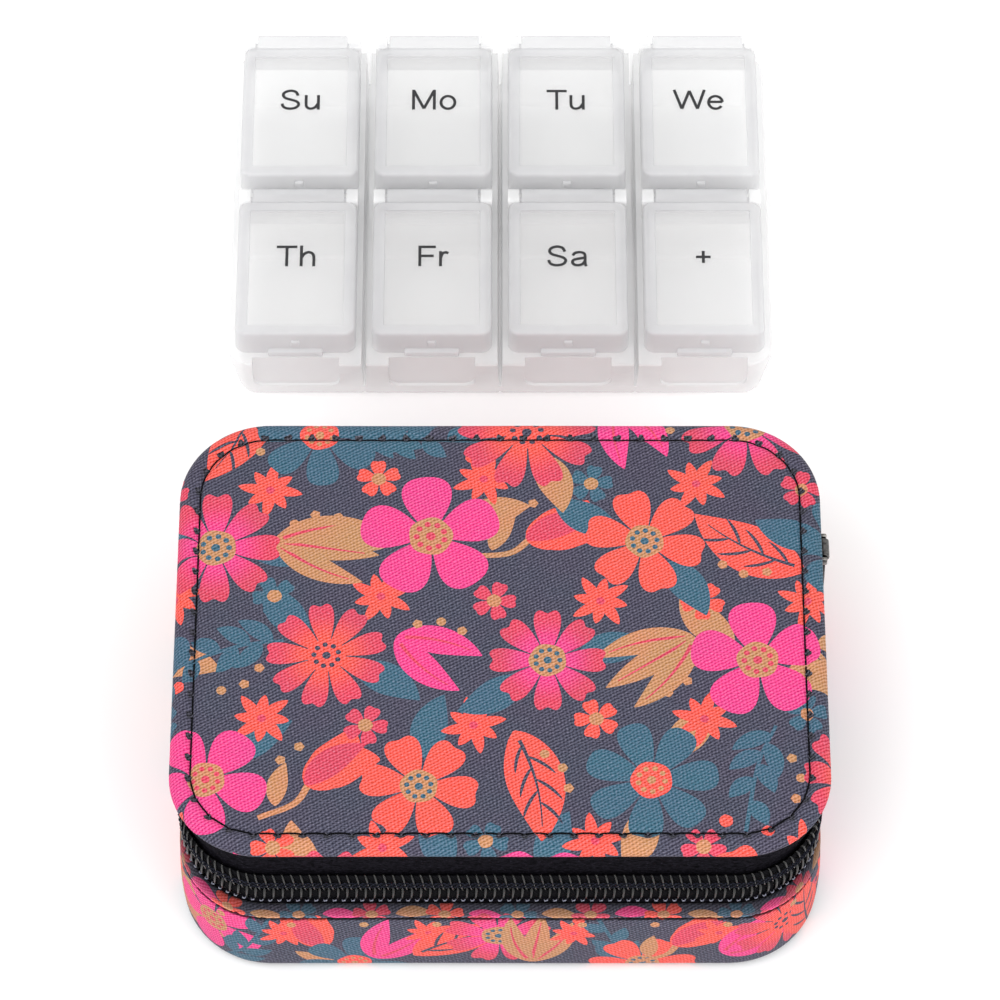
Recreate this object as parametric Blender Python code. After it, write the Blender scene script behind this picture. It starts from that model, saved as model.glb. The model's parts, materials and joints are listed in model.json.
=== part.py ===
"""Travel pill organizer: a zipped, padded fabric case and the lidded pill tray it carries.

Objects are built in metres with +Z up. The dimensions below are in millimetres and become
metres when a mesh is made. The origin is the middle of the case's underside, the case's
front faces -Y, and the tray stands behind the closed case on the same surface.
"""
import math

import bmesh
import bpy
from mathutils import Matrix, Vector

MM = 0.001
GAP = 0.3                       # clearance between neighbouring pieces

# ---- Case: driving dimensions ----
CASE_HEIGHT = 42.5
CORNER_RADIUS = 17.0
LID_PLAN = (61.0, 47.2, CORNER_RADIUS)      # half width, half depth, corner radius
BASE_PLAN = (60.0, 48.8, CORNER_RADIUS)
ZIP_PLAN = (60.0, 47.8, CORNER_RADIUS)
FOLD_Z = 23.5                   # folded top edge of the base wall
LID_UNDER_Z = 37.2              # underside of the lid panel
PARTING_Z = 28.4                # line on which the zip parts
FABRIC = 0.7                    # printed coated fabric
TAPE = 0.6                      # woven zip tape
CORNER_STEPS = 7                # facets on a case corner

# ---- Case: lid hinge and zip ----
HINGE_Y = 47.6                  # just outside the zip, so that the halves part freely
HINGE_HALF_WIDTH = 34.0
ZIP_END_X = HINGE_HALF_WIDTH + 0.4
COIL_GAP = 0.4                  # half of the gap that the slider's post runs in
COIL_HEIGHT = 2.6               # one row of the coil, across the chain
COIL_OUTER = 0.3                # inset of the coil's outer and inner faces
COIL_INNER = 1.7
TAPE_INSET = 2.0                # inset of the tape's outer face at the coil

# ---- Zip slider and pull ----
SLIDER_Y = 27.0
SLIDER_LENGTH = 9.5
SLIDER_HEIGHT = 7.4
PLATE = 0.8
BAR_RADIUS = 0.35
EYE_INNER = 0.65
EYE_OUTER = 1.05
BAR_X = ZIP_PLAN[0] + PLATE + EYE_OUTER + 0.4
PULL_LENGTH = 17.0
PULL_HALF_WIDTH = 2.4
PULL_HALF_THICK = 0.4

# ---- Tray: driving dimensions ----
TRAY_CENTRE_Y = 120.3
COLUMNS = 4
COLUMN_PITCH = 27.35
TRAY_DEPTH = 79.5
TRAY_HALF_WIDTH = COLUMNS * COLUMN_PITCH / 2
TRAY_PLAN = (TRAY_HALF_WIDTH, TRAY_DEPTH / 2, 5.5)
RIM_Z = 13.2
FLOOR_Z = 1.4
CELL_HALF_WIDTH = 11.2
ROW_AXIS_Y = (37.7, -2.0)       # hinge axis of the rear and the front row, from tray centre
AXIS_Z = 17.6
CELL_REAR = -2.6                # cell walls, measured from the hinge axis
CELL_FRONT = -34.0
TRAY_CORNER_STEPS = 3

# ---- Tray lids, measured from the hinge axis ----
CAP_HALF_WIDTH = 12.1
CAP_REAR = -1.8
CAP_FRONT = -35.1
CAP_BOTTOM = RIM_Z + GAP - AXIS_Z
CAP_TOP = 2.4
CAP_WALL = 1.1
BARREL_RADIUS = 1.5
BARREL_HALF_LENGTH = 9.3
PIN_RADIUS = 0.7
PIN_HOLE_RADIUS = 1.05
PIN_END = 11.6
EAR_INNER = 9.7
EAR_OUTER = 12.1
ROUND_STEPS = 10

LID_NAMES = (("sunday", "monday", "tuesday", "wednesday"),
             ("thursday", "friday", "saturday", "extra"))

# ---- Materials: base colour, roughness, metallic, alpha ----
MATERIALS = {
    "printed_fabric": ((0.07, 0.06, 0.10), 0.65, 0.0, 1.0),
    "padding": ((0.75, 0.74, 0.70), 0.9, 0.0, 1.0),
    "board": ((0.16, 0.16, 0.17), 0.7, 0.0, 1.0),
    "lining": ((0.03, 0.03, 0.04), 0.85, 0.0, 1.0),
    "zip_tape": ((0.015, 0.015, 0.018), 0.8, 0.0, 1.0),
    "zip_coil": ((0.02, 0.02, 0.022), 0.35, 0.0, 1.0),
    "zip_metal": ((0.05, 0.05, 0.055), 0.3, 1.0, 1.0),
    "tray_plastic": ((0.86, 0.87, 0.88), 0.35, 0.0, 0.6),
    "lid_plastic": ((0.90, 0.91, 0.92), 0.2, 0.0, 0.45),
}


def clear_scene():
    """Remove every object that the file opened with."""
    for item in list(bpy.data.objects):
        bpy.data.objects.remove(item, do_unlink=True)


def make_material(name):
    """One Principled material for each finish in MATERIALS."""
    colour, roughness, metallic, alpha = MATERIALS[name]
    material = bpy.data.materials.new(name)
    material.use_nodes = True
    shader = material.node_tree.nodes["Principled BSDF"]
    shader.inputs["Base Color"].default_value = (*colour, 1.0)
    shader.inputs["Roughness"].default_value = roughness
    shader.inputs["Metallic"].default_value = metallic
    shader.inputs["Alpha"].default_value = alpha
    return material


# ---- Outlines and profiles ----

def corner_points(plan, inset, z, corner, angles, centre=(0.0, 0.0)):
    """Points on one rounded corner of a plan, at angles in degrees."""
    half_x, half_y, radius = plan
    bend = max(radius - inset, 0.5)
    middle_x = centre[0] + corner[0] * (half_x - inset - bend)
    middle_y = centre[1] + corner[1] * (half_y - inset - bend)
    points = []
    for angle in angles:
        turn = math.radians(angle)
        points.append(Vector((middle_x + bend * math.cos(turn), middle_y + bend * math.sin(turn), z)))
    return points


def ring(plan, inset, z, steps=CORNER_STEPS, centre=(0.0, 0.0)):
    """A whole rounded rectangle, anticlockwise from the middle of its right side."""
    points = []
    for quarter, corner in enumerate(((1, 1), (-1, 1), (-1, -1), (1, -1))):
        angles = [90.0 * (quarter + step / steps) for step in range(steps + 1)]
        points += corner_points(plan, inset, z, corner, angles, centre)
    return points


def zip_run(plan, inset, z):
    """The zip's path: from the rear panel round both sides and the front, and back to it."""
    rear_y = plan[1] - inset
    points = [Vector((ZIP_END_X, rear_y, z))]
    for quarter, corner in enumerate(((1, 1), (1, -1), (-1, -1), (-1, 1))):
        angles = [90.0 - 90.0 * (quarter + step / CORNER_STEPS) for step in range(CORNER_STEPS + 1)]
        points += corner_points(plan, inset, z, corner, angles)
    points.append(Vector((-ZIP_END_X, rear_y, z)))
    return points


def arc(centre_inset, centre_z, radius, start, end, steps):
    """Profile points round a bend; 0 degrees faces outwards and 90 degrees faces up."""
    points = []
    for step in range(steps + 1):
        turn = math.radians(start + (end - start) * step / steps)
        points.append((centre_inset - radius * math.cos(turn), centre_z + radius * math.sin(turn)))
    return points


# ---- Meshes ----

def loft(rings, closed=False):
    """Join closed rings into one solid: capped at its ends, or closed into a loop."""
    mesh = bmesh.new()
    rows = [[mesh.verts.new(point) for point in points] for points in rings]
    pairs = list(zip(rows, rows[1:]))
    if closed:
        pairs.append((rows[-1], rows[0]))
    else:
        mesh.faces.new(rows[0])
        mesh.faces.new(rows[-1])
    for lower, upper in pairs:
        for index in range(len(lower)):
            following = (index + 1) % len(lower)
            mesh.faces.new((lower[index], lower[following], upper[following], upper[index]))
    return mesh


def box(low, high):
    """A rectangular block between two corners."""
    mesh = bmesh.new()
    size = [b - a for a, b in zip(low, high)]
    middle = [(a + b) / 2 for a, b in zip(low, high)]
    placing = Matrix.Translation(middle) @ Matrix.Diagonal((*size, 1.0))
    bmesh.ops.create_cube(mesh, size=1.0, matrix=placing)
    return mesh


def turned(stations, axis, middle=(0.0, 0.0, 0.0), steps=ROUND_STEPS):
    """A turned solid along X or Y, from (position, radius) stations."""
    rings = []
    for position, radius in stations:
        points = []
        for step in range(steps):
            turn = 2 * math.pi * (step + 0.5) / steps
            across, up = radius * math.cos(turn), radius * math.sin(turn)
            offset = (position, across, up) if axis == "X" else (across, position, up)
            points.append(Vector(middle) + Vector(offset))
        rings.append(points)
    return loft(rings)


def gather(meshes):
    """Put several separate shapes in one mesh."""
    joined = bmesh.new()
    for mesh in meshes:
        bmesh.ops.recalc_face_normals(mesh, faces=mesh.faces)
        data = bpy.data.meshes.new("gathered")
        mesh.to_mesh(data)
        mesh.free()
        joined.from_mesh(data)
        bpy.data.meshes.remove(data)
    return joined


def add_object(name, mesh, material, origin=(0.0, 0.0, 0.0)):
    """Turn a mesh in millimetres into a named object with its origin where it turns."""
    bmesh.ops.recalc_face_normals(mesh, faces=mesh.faces)
    for vertex in mesh.verts:
        vertex.co = (vertex.co - Vector(origin)) * MM
    data = bpy.data.meshes.new(name)
    mesh.to_mesh(data)
    mesh.free()
    item = bpy.data.objects.new(name, data)
    bpy.context.collection.objects.link(item)
    item.location = Vector(origin) * MM
    item.data.materials.append(material)
    item.data.shade_smooth()
    item.data.set_sharp_from_angle(angle=math.radians(35))
    return item


def add_boolean(item, tool, operation):
    """Join or cut an object with a hidden tool object."""
    tool.hide_render = True
    tool.display_type = "WIRE"
    modifier = item.modifiers.new(tool.name, "BOOLEAN")
    modifier.operation = operation
    modifier.solver = "EXACT"
    modifier.use_self = operation == "UNION"
    modifier.object = tool


# ---- The case's base ----

def build_base(finish):
    """Bottom panel, printed wall, padding, stiff shell and lining."""
    add_object("base_bottom_panel", loft([ring(BASE_PLAN, 3.9, 0.0), ring(BASE_PLAN, 3.9, FABRIC)]),
               finish["printed_fabric"])

    bottom_bend = 2.6
    fold = 2 * FABRIC + 0.1
    hem_z = 17.0
    wall = [(3.6, 0.0)]
    wall += arc(bottom_bend, bottom_bend, bottom_bend, -90, 0, 3)
    wall += [(-0.3, 12.0)]
    wall += arc(fold / 2, FOLD_Z - fold / 2, fold / 2, 0, 180, 3)
    wall += [(fold, hem_z), (FABRIC, hem_z - 0.8)]
    wall += arc(bottom_bend, bottom_bend, bottom_bend - FABRIC, 0, -90, 2)
    wall += [(3.6, FABRIC)]
    add_object("base_wall_cover", loft([ring(BASE_PLAN, *point) for point in wall], closed=True),
               finish["printed_fabric"])

    padding = [(1.0, 3.2), (1.0, 15.7), (2.4, 15.7), (2.4, 3.2)]
    add_object("base_padding", loft([ring(BASE_PLAN, *point) for point in padding], closed=True),
               finish["padding"])

    shell = [(3.3, 1.0), (2.7, 1.6), (2.7, 21.0), (3.9, 21.0), (3.9, 2.7), (4.4, 2.2)]
    add_object("base_shell", loft([ring(BASE_PLAN, *point) for point in shell]), finish["board"])

    lining = [(5.0, 2.5), (4.2, 3.3), (4.2, 22.3), (4.7, 22.3), (4.7, 3.5), (5.2, 3.0)]
    add_object("base_lining", loft([ring(BASE_PLAN, *point) for point in lining]), finish["lining"])


# ---- The case's lid ----

def build_lid(finish):
    """Printed cover wrapped round foam and board, and the lining that closes it."""
    origin = (0.0, HINGE_Y, PARTING_Z)
    top = CASE_HEIGHT
    lip = LID_UNDER_Z + FABRIC
    cover = [(25.0, top), (12.0, top - 0.1), (5.0, top - 0.35)]
    cover += arc(2.4, top - 2.9, 2.4, 90, 0, 3)
    cover += arc(2.4, LID_UNDER_Z + 2.4, 2.4, 0, -90, 3)
    cover += [(7.5, LID_UNDER_Z), (7.5, lip)]
    cover += arc(2.4, lip + 1.7, 1.7, -90, 0, 2)
    cover += arc(2.4, top - 2.9, 1.7, 0, 90, 2)
    cover += [(5.0, top - 1.05), (12.0, top - 0.8), (25.0, top - FABRIC)]
    add_object("lid_cover", loft([ring(LID_PLAN, *point) for point in cover]),
               finish["printed_fabric"], origin)

    foam = [(3.0, top - 3.2), (3.0, top - 1.6), (12.0, top - 1.15), (25.0, top - 1.05)]
    add_object("lid_foam", loft([ring(LID_PLAN, *point) for point in foam]), finish["padding"], origin)

    board = [(3.0, lip + GAP), (3.0, top - 3.5)]
    add_object("lid_board", loft([ring(LID_PLAN, *point) for point in board]), finish["board"], origin)

    lining = [(7.8, LID_UNDER_Z), (7.8, lip)]
    add_object("lid_lining", loft([ring(LID_PLAN, *point) for point in lining]), finish["lining"], origin)


# ---- The zip and the rear hinge panel ----

def zip_strip(profile):
    """A strip of constant section that follows the zip's path."""
    return loft(zip(*[zip_run(plan, inset, z) for plan, inset, z in profile]))


def build_zip(finish):
    """Two tapes, the two halves of the coil, and the fabric panel that the lid hinges on."""
    lid_origin = (0.0, HINGE_Y, PARTING_Z)
    inner = TAPE_INSET + TAPE
    low = PARTING_Z - COIL_GAP
    high = PARTING_Z + COIL_GAP
    seam_z = LID_UNDER_Z - GAP
    tuck_z = 16.2
    bend_z = 24.9

    lower_tape = [(BASE_PLAN, 1.8, tuck_z), (BASE_PLAN, 1.8, FOLD_Z - 0.7),
                  (ZIP_PLAN, TAPE_INSET, bend_z), (ZIP_PLAN, TAPE_INSET, low),
                  (ZIP_PLAN, inner, low), (ZIP_PLAN, inner, bend_z),
                  (BASE_PLAN, 2.4, FOLD_Z - 0.7), (BASE_PLAN, 2.4, tuck_z)]
    add_object("zip_tape_lower", zip_strip(lower_tape), finish["zip_tape"])

    upper_tape = [(ZIP_PLAN, TAPE_INSET, high), (ZIP_PLAN, TAPE_INSET, 32.0),
                  (LID_PLAN, 2.2, seam_z), (LID_PLAN, 6.5, seam_z),
                  (LID_PLAN, 6.5, seam_z - TAPE), (LID_PLAN, 2.8, seam_z - TAPE),
                  (ZIP_PLAN, inner, 32.0), (ZIP_PLAN, inner, high)]
    add_object("zip_tape_upper", zip_strip(upper_tape), finish["zip_tape"], lid_origin)

    for name, start, away, origin in (("zip_coil_lower", low, -1, (0.0, 0.0, 0.0)),
                                      ("zip_coil_upper", high, 1, lid_origin)):
        far = start + away * COIL_HEIGHT
        coil = [(ZIP_PLAN, COIL_INNER, start), (ZIP_PLAN, COIL_OUTER, start),
                (ZIP_PLAN, COIL_OUTER, far - away * 0.8), (ZIP_PLAN, COIL_OUTER + 0.5, far),
                (ZIP_PLAN, COIL_INNER, far)]
        add_object(name, zip_strip(coil), finish["zip_coil"], origin)

    rear = BASE_PLAN[1] - 1.8
    waist = 46.2
    under_lid = LID_PLAN[1] - 1.2
    panel = [(rear, tuck_z), (rear, FOLD_Z - 0.7), (waist, PARTING_Z), (under_lid, seam_z),
             (LID_PLAN[1] - 6.5, seam_z), (LID_PLAN[1] - 6.5, seam_z - TAPE),
             (under_lid - TAPE, seam_z - TAPE), (waist - TAPE, PARTING_Z),
             (rear - TAPE, FOLD_Z - 0.7), (rear - TAPE, tuck_z)]
    ends = [[Vector((x, y, z)) for y, z in panel] for x in (-HINGE_HALF_WIDTH, HINGE_HALF_WIDTH)]
    add_object("hinge_panel", loft(ends), finish["printed_fabric"])


def build_slider(finish):
    """The slider on the right side, with the pull that hangs from its bar."""
    face_x = ZIP_PLAN[0]
    half_length = SLIDER_LENGTH / 2
    half_height = SLIDER_HEIGHT / 2
    back_x = ZIP_PLAN[0] - TAPE_INSET - TAPE - GAP
    post_half = COIL_GAP - 0.1
    lug_x = BAR_X + 0.55

    def block(x_low, x_high, y_low, y_high, z_half):
        return box((x_low, SLIDER_Y + y_low, PARTING_Z - z_half),
                   (x_high, SLIDER_Y + y_high, PARTING_Z + z_half))

    slider = add_object("zip_slider", block(face_x, face_x + PLATE, -half_length, half_length, half_height),
                        finish["zip_metal"], (face_x, SLIDER_Y, PARTING_Z))
    rest = [block(back_x - PLATE, back_x, 0.6 - half_length, half_length - 0.6, half_height - 0.5),
            block(back_x - PLATE / 2, face_x + PLATE / 2, 2.0, 3.6, post_half),
            turned([(SLIDER_Y - 2.8, BAR_RADIUS), (SLIDER_Y + 2.8, BAR_RADIUS)], "Y",
                   (BAR_X, 0.0, PARTING_Z))]
    for side in (-1, 1):
        middle = side * 2.7
        rest.append(block(face_x + PLATE / 2, lug_x, middle - 0.4, middle + 0.4, 0.8))
    tool = add_object("slider_rest", gather(rest), finish["zip_metal"], (face_x, SLIDER_Y, PARTING_Z))
    add_boolean(slider, tool, "UNION")

    pivot = (BAR_X, SLIDER_Y, PARTING_Z)
    eye = turned([(SLIDER_Y - 1.9, EYE_OUTER), (SLIDER_Y + 1.9, EYE_OUTER)], "Y", (BAR_X, 0.0, PARTING_Z))
    pull = add_object("zip_pull", eye, finish["zip_metal"], pivot)
    low_z = PARTING_Z - PULL_LENGTH
    tab = []
    for x in (BAR_X - PULL_HALF_THICK, BAR_X + PULL_HALF_THICK):
        outline = [Vector((x, SLIDER_Y + 1.5, PARTING_Z - EYE_INNER - 0.1)),
                   Vector((x, SLIDER_Y + 1.5, PARTING_Z - 3.0)),
                   Vector((x, SLIDER_Y + PULL_HALF_WIDTH, PARTING_Z - 5.0))]
        for step in range(7):
            turn = math.radians(180.0 * step / 6)
            outline.append(Vector((x, SLIDER_Y + PULL_HALF_WIDTH * math.cos(turn),
                                   low_z + PULL_HALF_WIDTH - PULL_HALF_WIDTH * math.sin(turn))))
        outline += [Vector((x, SLIDER_Y - PULL_HALF_WIDTH, PARTING_Z - 5.0)),
                    Vector((x, SLIDER_Y - 1.5, PARTING_Z - 3.0)),
                    Vector((x, SLIDER_Y - 1.5, PARTING_Z - EYE_INNER - 0.1))]
        tab.append(outline)
    add_boolean(pull, add_object("pull_tab", loft(tab), finish["zip_metal"], pivot), "UNION")
    hole = turned([(SLIDER_Y - 2.5, EYE_INNER), (SLIDER_Y + 2.5, EYE_INNER)], "Y", (BAR_X, 0.0, PARTING_Z))
    add_boolean(pull, add_object("pull_eye_hole", hole, finish["zip_metal"], pivot), "DIFFERENCE")
    pull.parent = slider
    pull.location = (Vector(pivot) - Vector((face_x, SLIDER_Y, PARTING_Z))) * MM


# ---- The tray ----

def column_x(column):
    """Middle of a column of cells."""
    return (column - (COLUMNS - 1) / 2) * COLUMN_PITCH


def tray_tub():
    """The tray's outer block, drawn in towards its base."""
    sides = [(2.4, 0.0), (1.9, 1.0), (0.3, 9.0), (0.0, 10.0), (0.0, RIM_Z)]
    return loft([ring(TRAY_PLAN, inset, z, TRAY_CORNER_STEPS) for inset, z in sides])


def hinge_ears(x, axis_y):
    """Two ears that carry one lid's pins, and the low wall between them."""
    shapes = []
    for side in (-1, 1):
        outline = [(-BARREL_RADIUS, RIM_Z - 1.0), (BARREL_RADIUS, RIM_Z - 1.0)]
        for step in range(5):
            turn = math.radians(180.0 * step / 4)
            outline.append((BARREL_RADIUS * math.cos(turn), AXIS_Z + BARREL_RADIUS * math.sin(turn)))
        faces = [[Vector((x + side * reach, axis_y + y, z)) for y, z in outline]
                 for reach in (EAR_INNER, EAR_OUTER)]
        shapes.append(loft(faces))
    wall_reach = EAR_INNER + 0.4
    shapes.append(box((x - wall_reach, axis_y - 1.2, RIM_Z - 1.0),
                      (x + wall_reach, axis_y + 1.2, RIM_Z + 2.2)))
    return shapes


def thumb_recess(x, y_low, y_high, floor_z):
    """A recess with rounded lower corners, open at the rim."""
    half, bend = 8.7, 2.4
    outline = [(half, RIM_Z + 1.0)]
    for side, start in ((1, 0), (-1, 90)):
        for step in range(4):
            turn = math.radians(start + 90.0 * step / 3)
            outline.append((side * (half - bend) + bend * math.cos(turn),
                            floor_z + bend - bend * math.sin(turn)))
    outline.append((-half, RIM_Z + 1.0))
    return loft([[Vector((x + across, y, z)) for across, z in outline] for y in (y_low, y_high)])


def tray_cutters():
    """Cells, column slots, thumb recesses, the hollow under the divider, and pin holes."""
    front_y = -TRAY_DEPTH / 2
    shapes = []
    for column in range(COLUMNS):
        x = column_x(column)
        for axis_y in ROW_AXIS_Y:
            shapes.append(box((x - CELL_HALF_WIDTH, axis_y + CELL_FRONT, FLOOR_Z),
                              (x + CELL_HALF_WIDTH, axis_y + CELL_REAR, RIM_Z + 1.0)))
        shapes.append(thumb_recess(x, front_y - 1.0, front_y + 1.9, 4.2))
        shapes.append(thumb_recess(x, 0.2, 2.2, 6.0))
        shapes.append(box((x - 10.5, -3.4, -1.0), (x + 10.5, -0.9, 11.0)))
    for gap in range(1, COLUMNS):
        x = column_x(gap) - COLUMN_PITCH / 2
        shapes.append(box((x - 0.5, front_y - 1.0, 4.0), (x + 0.5, -front_y + 1.0, RIM_Z + 1.0)))
        notch = [[Vector((x - 1.1, y, -0.5)), Vector((x + 1.1, y, -0.5)), Vector((x, y, 1.2))]
                 for y in (front_y - 1.0, -front_y + 1.0)]
        shapes.append(loft(notch))
    return shapes


def pin_holes():
    """A hole through every hinge ear."""
    shapes = []
    for column in range(COLUMNS):
        for axis_y in ROW_AXIS_Y:
            for side in (-1, 1):
                x = column_x(column)
                ends = [(x + side * (EAR_INNER - 0.5), PIN_HOLE_RADIUS),
                        (x + side * (EAR_OUTER + 0.5), PIN_HOLE_RADIUS)]
                shapes.append(turned(ends, "X", (0.0, axis_y, AXIS_Z), 8))
    return shapes


def build_tray_body(finish):
    """One moulding with a cell under every lid."""
    plastic = finish["tray_plastic"]
    body = add_object("tray_body", tray_tub(), plastic)
    ears = []
    for column in range(COLUMNS):
        for axis_y in ROW_AXIS_Y:
            ears += hinge_ears(column_x(column), axis_y)
    tools = ((add_object("tray_ears", gather(ears), plastic), "UNION"),
             (add_object("tray_cutters", gather(tray_cutters()), plastic), "DIFFERENCE"),
             (add_object("tray_pin_holes", gather(pin_holes()), plastic), "DIFFERENCE"))
    for tool, operation in tools:
        add_boolean(body, tool, operation)
        tool.location.y = TRAY_CENTRE_Y * MM
    body.location.y = TRAY_CENTRE_Y * MM


def cap_mesh():
    """A lid's raised cap, open below, with a shallow window in its top."""
    middle = (0.0, (CAP_REAR + CAP_FRONT) / 2)
    plan = (CAP_HALF_WIDTH, (CAP_REAR - CAP_FRONT) / 2, 1.8)
    profile = [(CAP_WALL + 1.2, CAP_TOP - CAP_WALL), (CAP_WALL, CAP_TOP - CAP_WALL - 1.2),
               (CAP_WALL, CAP_BOTTOM), (0.0, CAP_BOTTOM), (0.0, CAP_TOP - 1.9),
               (0.5, CAP_TOP - 0.6), (1.5, CAP_TOP), (2.5, CAP_TOP), (2.6, CAP_TOP - 0.25)]
    return loft([ring(plan, inset, z, 2, middle) for inset, z in profile])


def build_tray_lids(finish):
    """Eight lids: cap, front tab, and hinge barrel with its two pins."""
    plastic = finish["lid_plastic"]
    cap = add_object("lid_pattern", cap_mesh(), plastic)
    stations = [(-PIN_END, PIN_RADIUS), (-BARREL_HALF_LENGTH, PIN_RADIUS),
                (-BARREL_HALF_LENGTH, BARREL_RADIUS), (BARREL_HALF_LENGTH, BARREL_RADIUS),
                (BARREL_HALF_LENGTH, PIN_RADIUS), (PIN_END, PIN_RADIUS)]
    web = box((-BARREL_HALF_LENGTH + 0.3, CAP_REAR - 0.6, -0.6), (BARREL_HALF_LENGTH - 0.3, -0.4, 1.2))
    tab = box((-5.5, CAP_FRONT - 1.0, CAP_BOTTOM + 0.2), (5.5, CAP_FRONT + 0.5, CAP_BOTTOM + 1.7))
    add_boolean(cap, add_object("lid_barrel", turned(stations, "X"), plastic), "UNION")
    add_boolean(cap, add_object("lid_web", web, plastic), "UNION")
    add_boolean(cap, add_object("lid_tab", tab, plastic), "UNION")
    depsgraph = bpy.context.evaluated_depsgraph_get()
    shared = bpy.data.meshes.new_from_object(cap.evaluated_get(depsgraph))
    cap.hide_render = True
    cap.display_type = "WIRE"
    for names, axis_y in zip(LID_NAMES, ROW_AXIS_Y):
        for column, day in enumerate(names):
            lid = bpy.data.objects.new(f"tray_lid_{day}", shared)
            bpy.context.collection.objects.link(lid)
            lid.location = Vector((column_x(column), TRAY_CENTRE_Y + axis_y, AXIS_Z)) * MM


def main():
    clear_scene()
    finish = {name: make_material(name) for name in MATERIALS}
    build_base(finish)
    build_lid(finish)
    build_zip(finish)
    build_slider(finish)
    build_tray_body(finish)
    build_tray_lids(finish)


main()
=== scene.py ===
"""Finished looks of the travel pill organizer: a printed, zipped case and its pill tray.

Shapes are worked out in millimetres and become metres when a mesh is made. Sizes come from
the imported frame. Cloth is laid out flat, printed with shapes cut into its mesh, and wrapped
over the case, so each piece of cloth keeps the pattern and the weave it was cut with.
"""
import cmath
import json
import math
import random

import bmesh
import bpy
import numpy as np
from mathutils import Matrix, Vector
from mathutils.geometry import delaunay_2d_cdt


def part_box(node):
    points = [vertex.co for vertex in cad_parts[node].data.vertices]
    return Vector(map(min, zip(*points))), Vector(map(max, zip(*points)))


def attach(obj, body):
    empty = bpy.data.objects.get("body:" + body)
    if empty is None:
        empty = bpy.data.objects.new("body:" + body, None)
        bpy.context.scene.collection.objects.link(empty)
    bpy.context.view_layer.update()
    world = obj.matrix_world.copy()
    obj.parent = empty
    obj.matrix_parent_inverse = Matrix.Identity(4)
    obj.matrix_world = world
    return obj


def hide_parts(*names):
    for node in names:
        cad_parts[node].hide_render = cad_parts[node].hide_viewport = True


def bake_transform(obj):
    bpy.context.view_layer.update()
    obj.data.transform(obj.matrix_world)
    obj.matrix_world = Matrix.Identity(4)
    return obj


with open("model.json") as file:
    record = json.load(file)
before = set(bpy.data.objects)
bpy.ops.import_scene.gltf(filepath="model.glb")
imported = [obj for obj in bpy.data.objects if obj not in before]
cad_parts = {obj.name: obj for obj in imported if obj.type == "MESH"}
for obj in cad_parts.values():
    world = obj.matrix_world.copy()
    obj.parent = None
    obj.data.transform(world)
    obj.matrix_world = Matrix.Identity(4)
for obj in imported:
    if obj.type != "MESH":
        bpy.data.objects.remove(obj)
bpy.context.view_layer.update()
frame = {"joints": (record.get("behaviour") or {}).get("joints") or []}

MM = 0.001


# ---- Sizes taken from the frame, in millimetres ----

def corners(node):
    """Lowest and highest corner of a CAD node."""
    low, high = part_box(node)
    return np.array(low) / MM, np.array(high) / MM


def heights(node):
    """Lowest and highest Z of a CAD node."""
    low, high = corners(node)
    return low[2], high[2]


def joint_at(name):
    """Where a joint's axis passes."""
    found = next(joint for joint in frame["joints"] if joint["name"] == name)
    return np.array(found["pos_m"]) / MM


CORNER = 17.0                                   # corner radius of the case
BULGE = 0.3                                     # how far the base wall swells
LID_LOW, LID_HIGH = corners("lid_cover")
WALL_LOW, WALL_HIGH = corners("base_wall_cover")
COIL_LOW, COIL_HIGH = corners("zip_coil_lower")
LID_CORE = np.array([LID_HIGH[0] - CORNER, LID_HIGH[1] - CORNER])
BASE_CORE = np.array([WALL_HIGH[0] - BULGE - CORNER, WALL_HIGH[1] - BULGE - CORNER])
ZIP_CORE = np.array([COIL_HIGH[0] + 0.3 - CORNER, COIL_HIGH[1] + 0.3 - CORNER])
TOP = LID_HIGH[2]
UNDER = LID_LOW[2]
FOLD_Z = WALL_HIGH[2]
HINGE = joint_at("case_lid_hinge")
PARTING = HINGE[2]
PANEL_HALF = corners("hinge_panel")[1][0]
ZIP_END = PANEL_HALF + 0.4
STITCH_OUT = 13.0                               # stitch line, measured out from the lid's core
STITCH_PITCH = 4.5

DYES = {
    "ground": (42, 41, 58),
    "coral": (241, 74, 48),
    "pink": (235, 41, 124),
    "rose": (214, 47, 73),
    "teal": (32, 86, 105),
    "tan": (193, 130, 77),
    # hole: painted shadow, a dark disc printed at each needle hole
    "hole": (8, 8, 11),
}


def linear(colour):
    """A screen colour as scene-linear light."""
    return tuple((c / 255 / 12.92) if c < 11 else ((c / 255 + 0.055) / 1.055) ** 2.4 for c in colour)


# ---- Lines and profiles ----

def smooth_line(points, steps=8):
    """A smooth curve through points of any dimension."""
    points = [np.array(point, float) for point in points]
    padded = [2 * points[0] - points[1], *points, 2 * points[-1] - points[-2]]
    line = []
    for before, start, end, after in zip(padded, padded[1:], padded[2:], padded[3:]):
        for step in range(steps):
            t = step / steps
            line.append(0.5 * (2 * start + (end - before) * t
                               + (2 * before - 5 * start + 4 * end - after) * t ** 2
                               + (3 * start - before - 3 * end + after) * t ** 3))
    line.append(points[-1])
    return line


class Profile:
    """A section through cloth, as (out, up) points, read by length along it."""

    def __init__(self, points):
        line = np.array(smooth_line(points))
        self.along = np.concatenate(([0.0], np.cumsum(np.linalg.norm(np.diff(line, axis=0), axis=1))))
        self.line = line
        self.length = self.along[-1]

    def at(self, along):
        return (np.interp(along, self.along, self.line[:, 0]), np.interp(along, self.along, self.line[:, 1]))

    def reach(self, out):
        """Length along the section at which it first gets that far out."""
        return self.along[int(np.argmax(self.line[:, 0] >= out))]

    def rise(self, up):
        """Length along the section at which it first gets that high."""
        return self.along[int(np.argmax(self.line[:, 1] >= up))]


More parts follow.
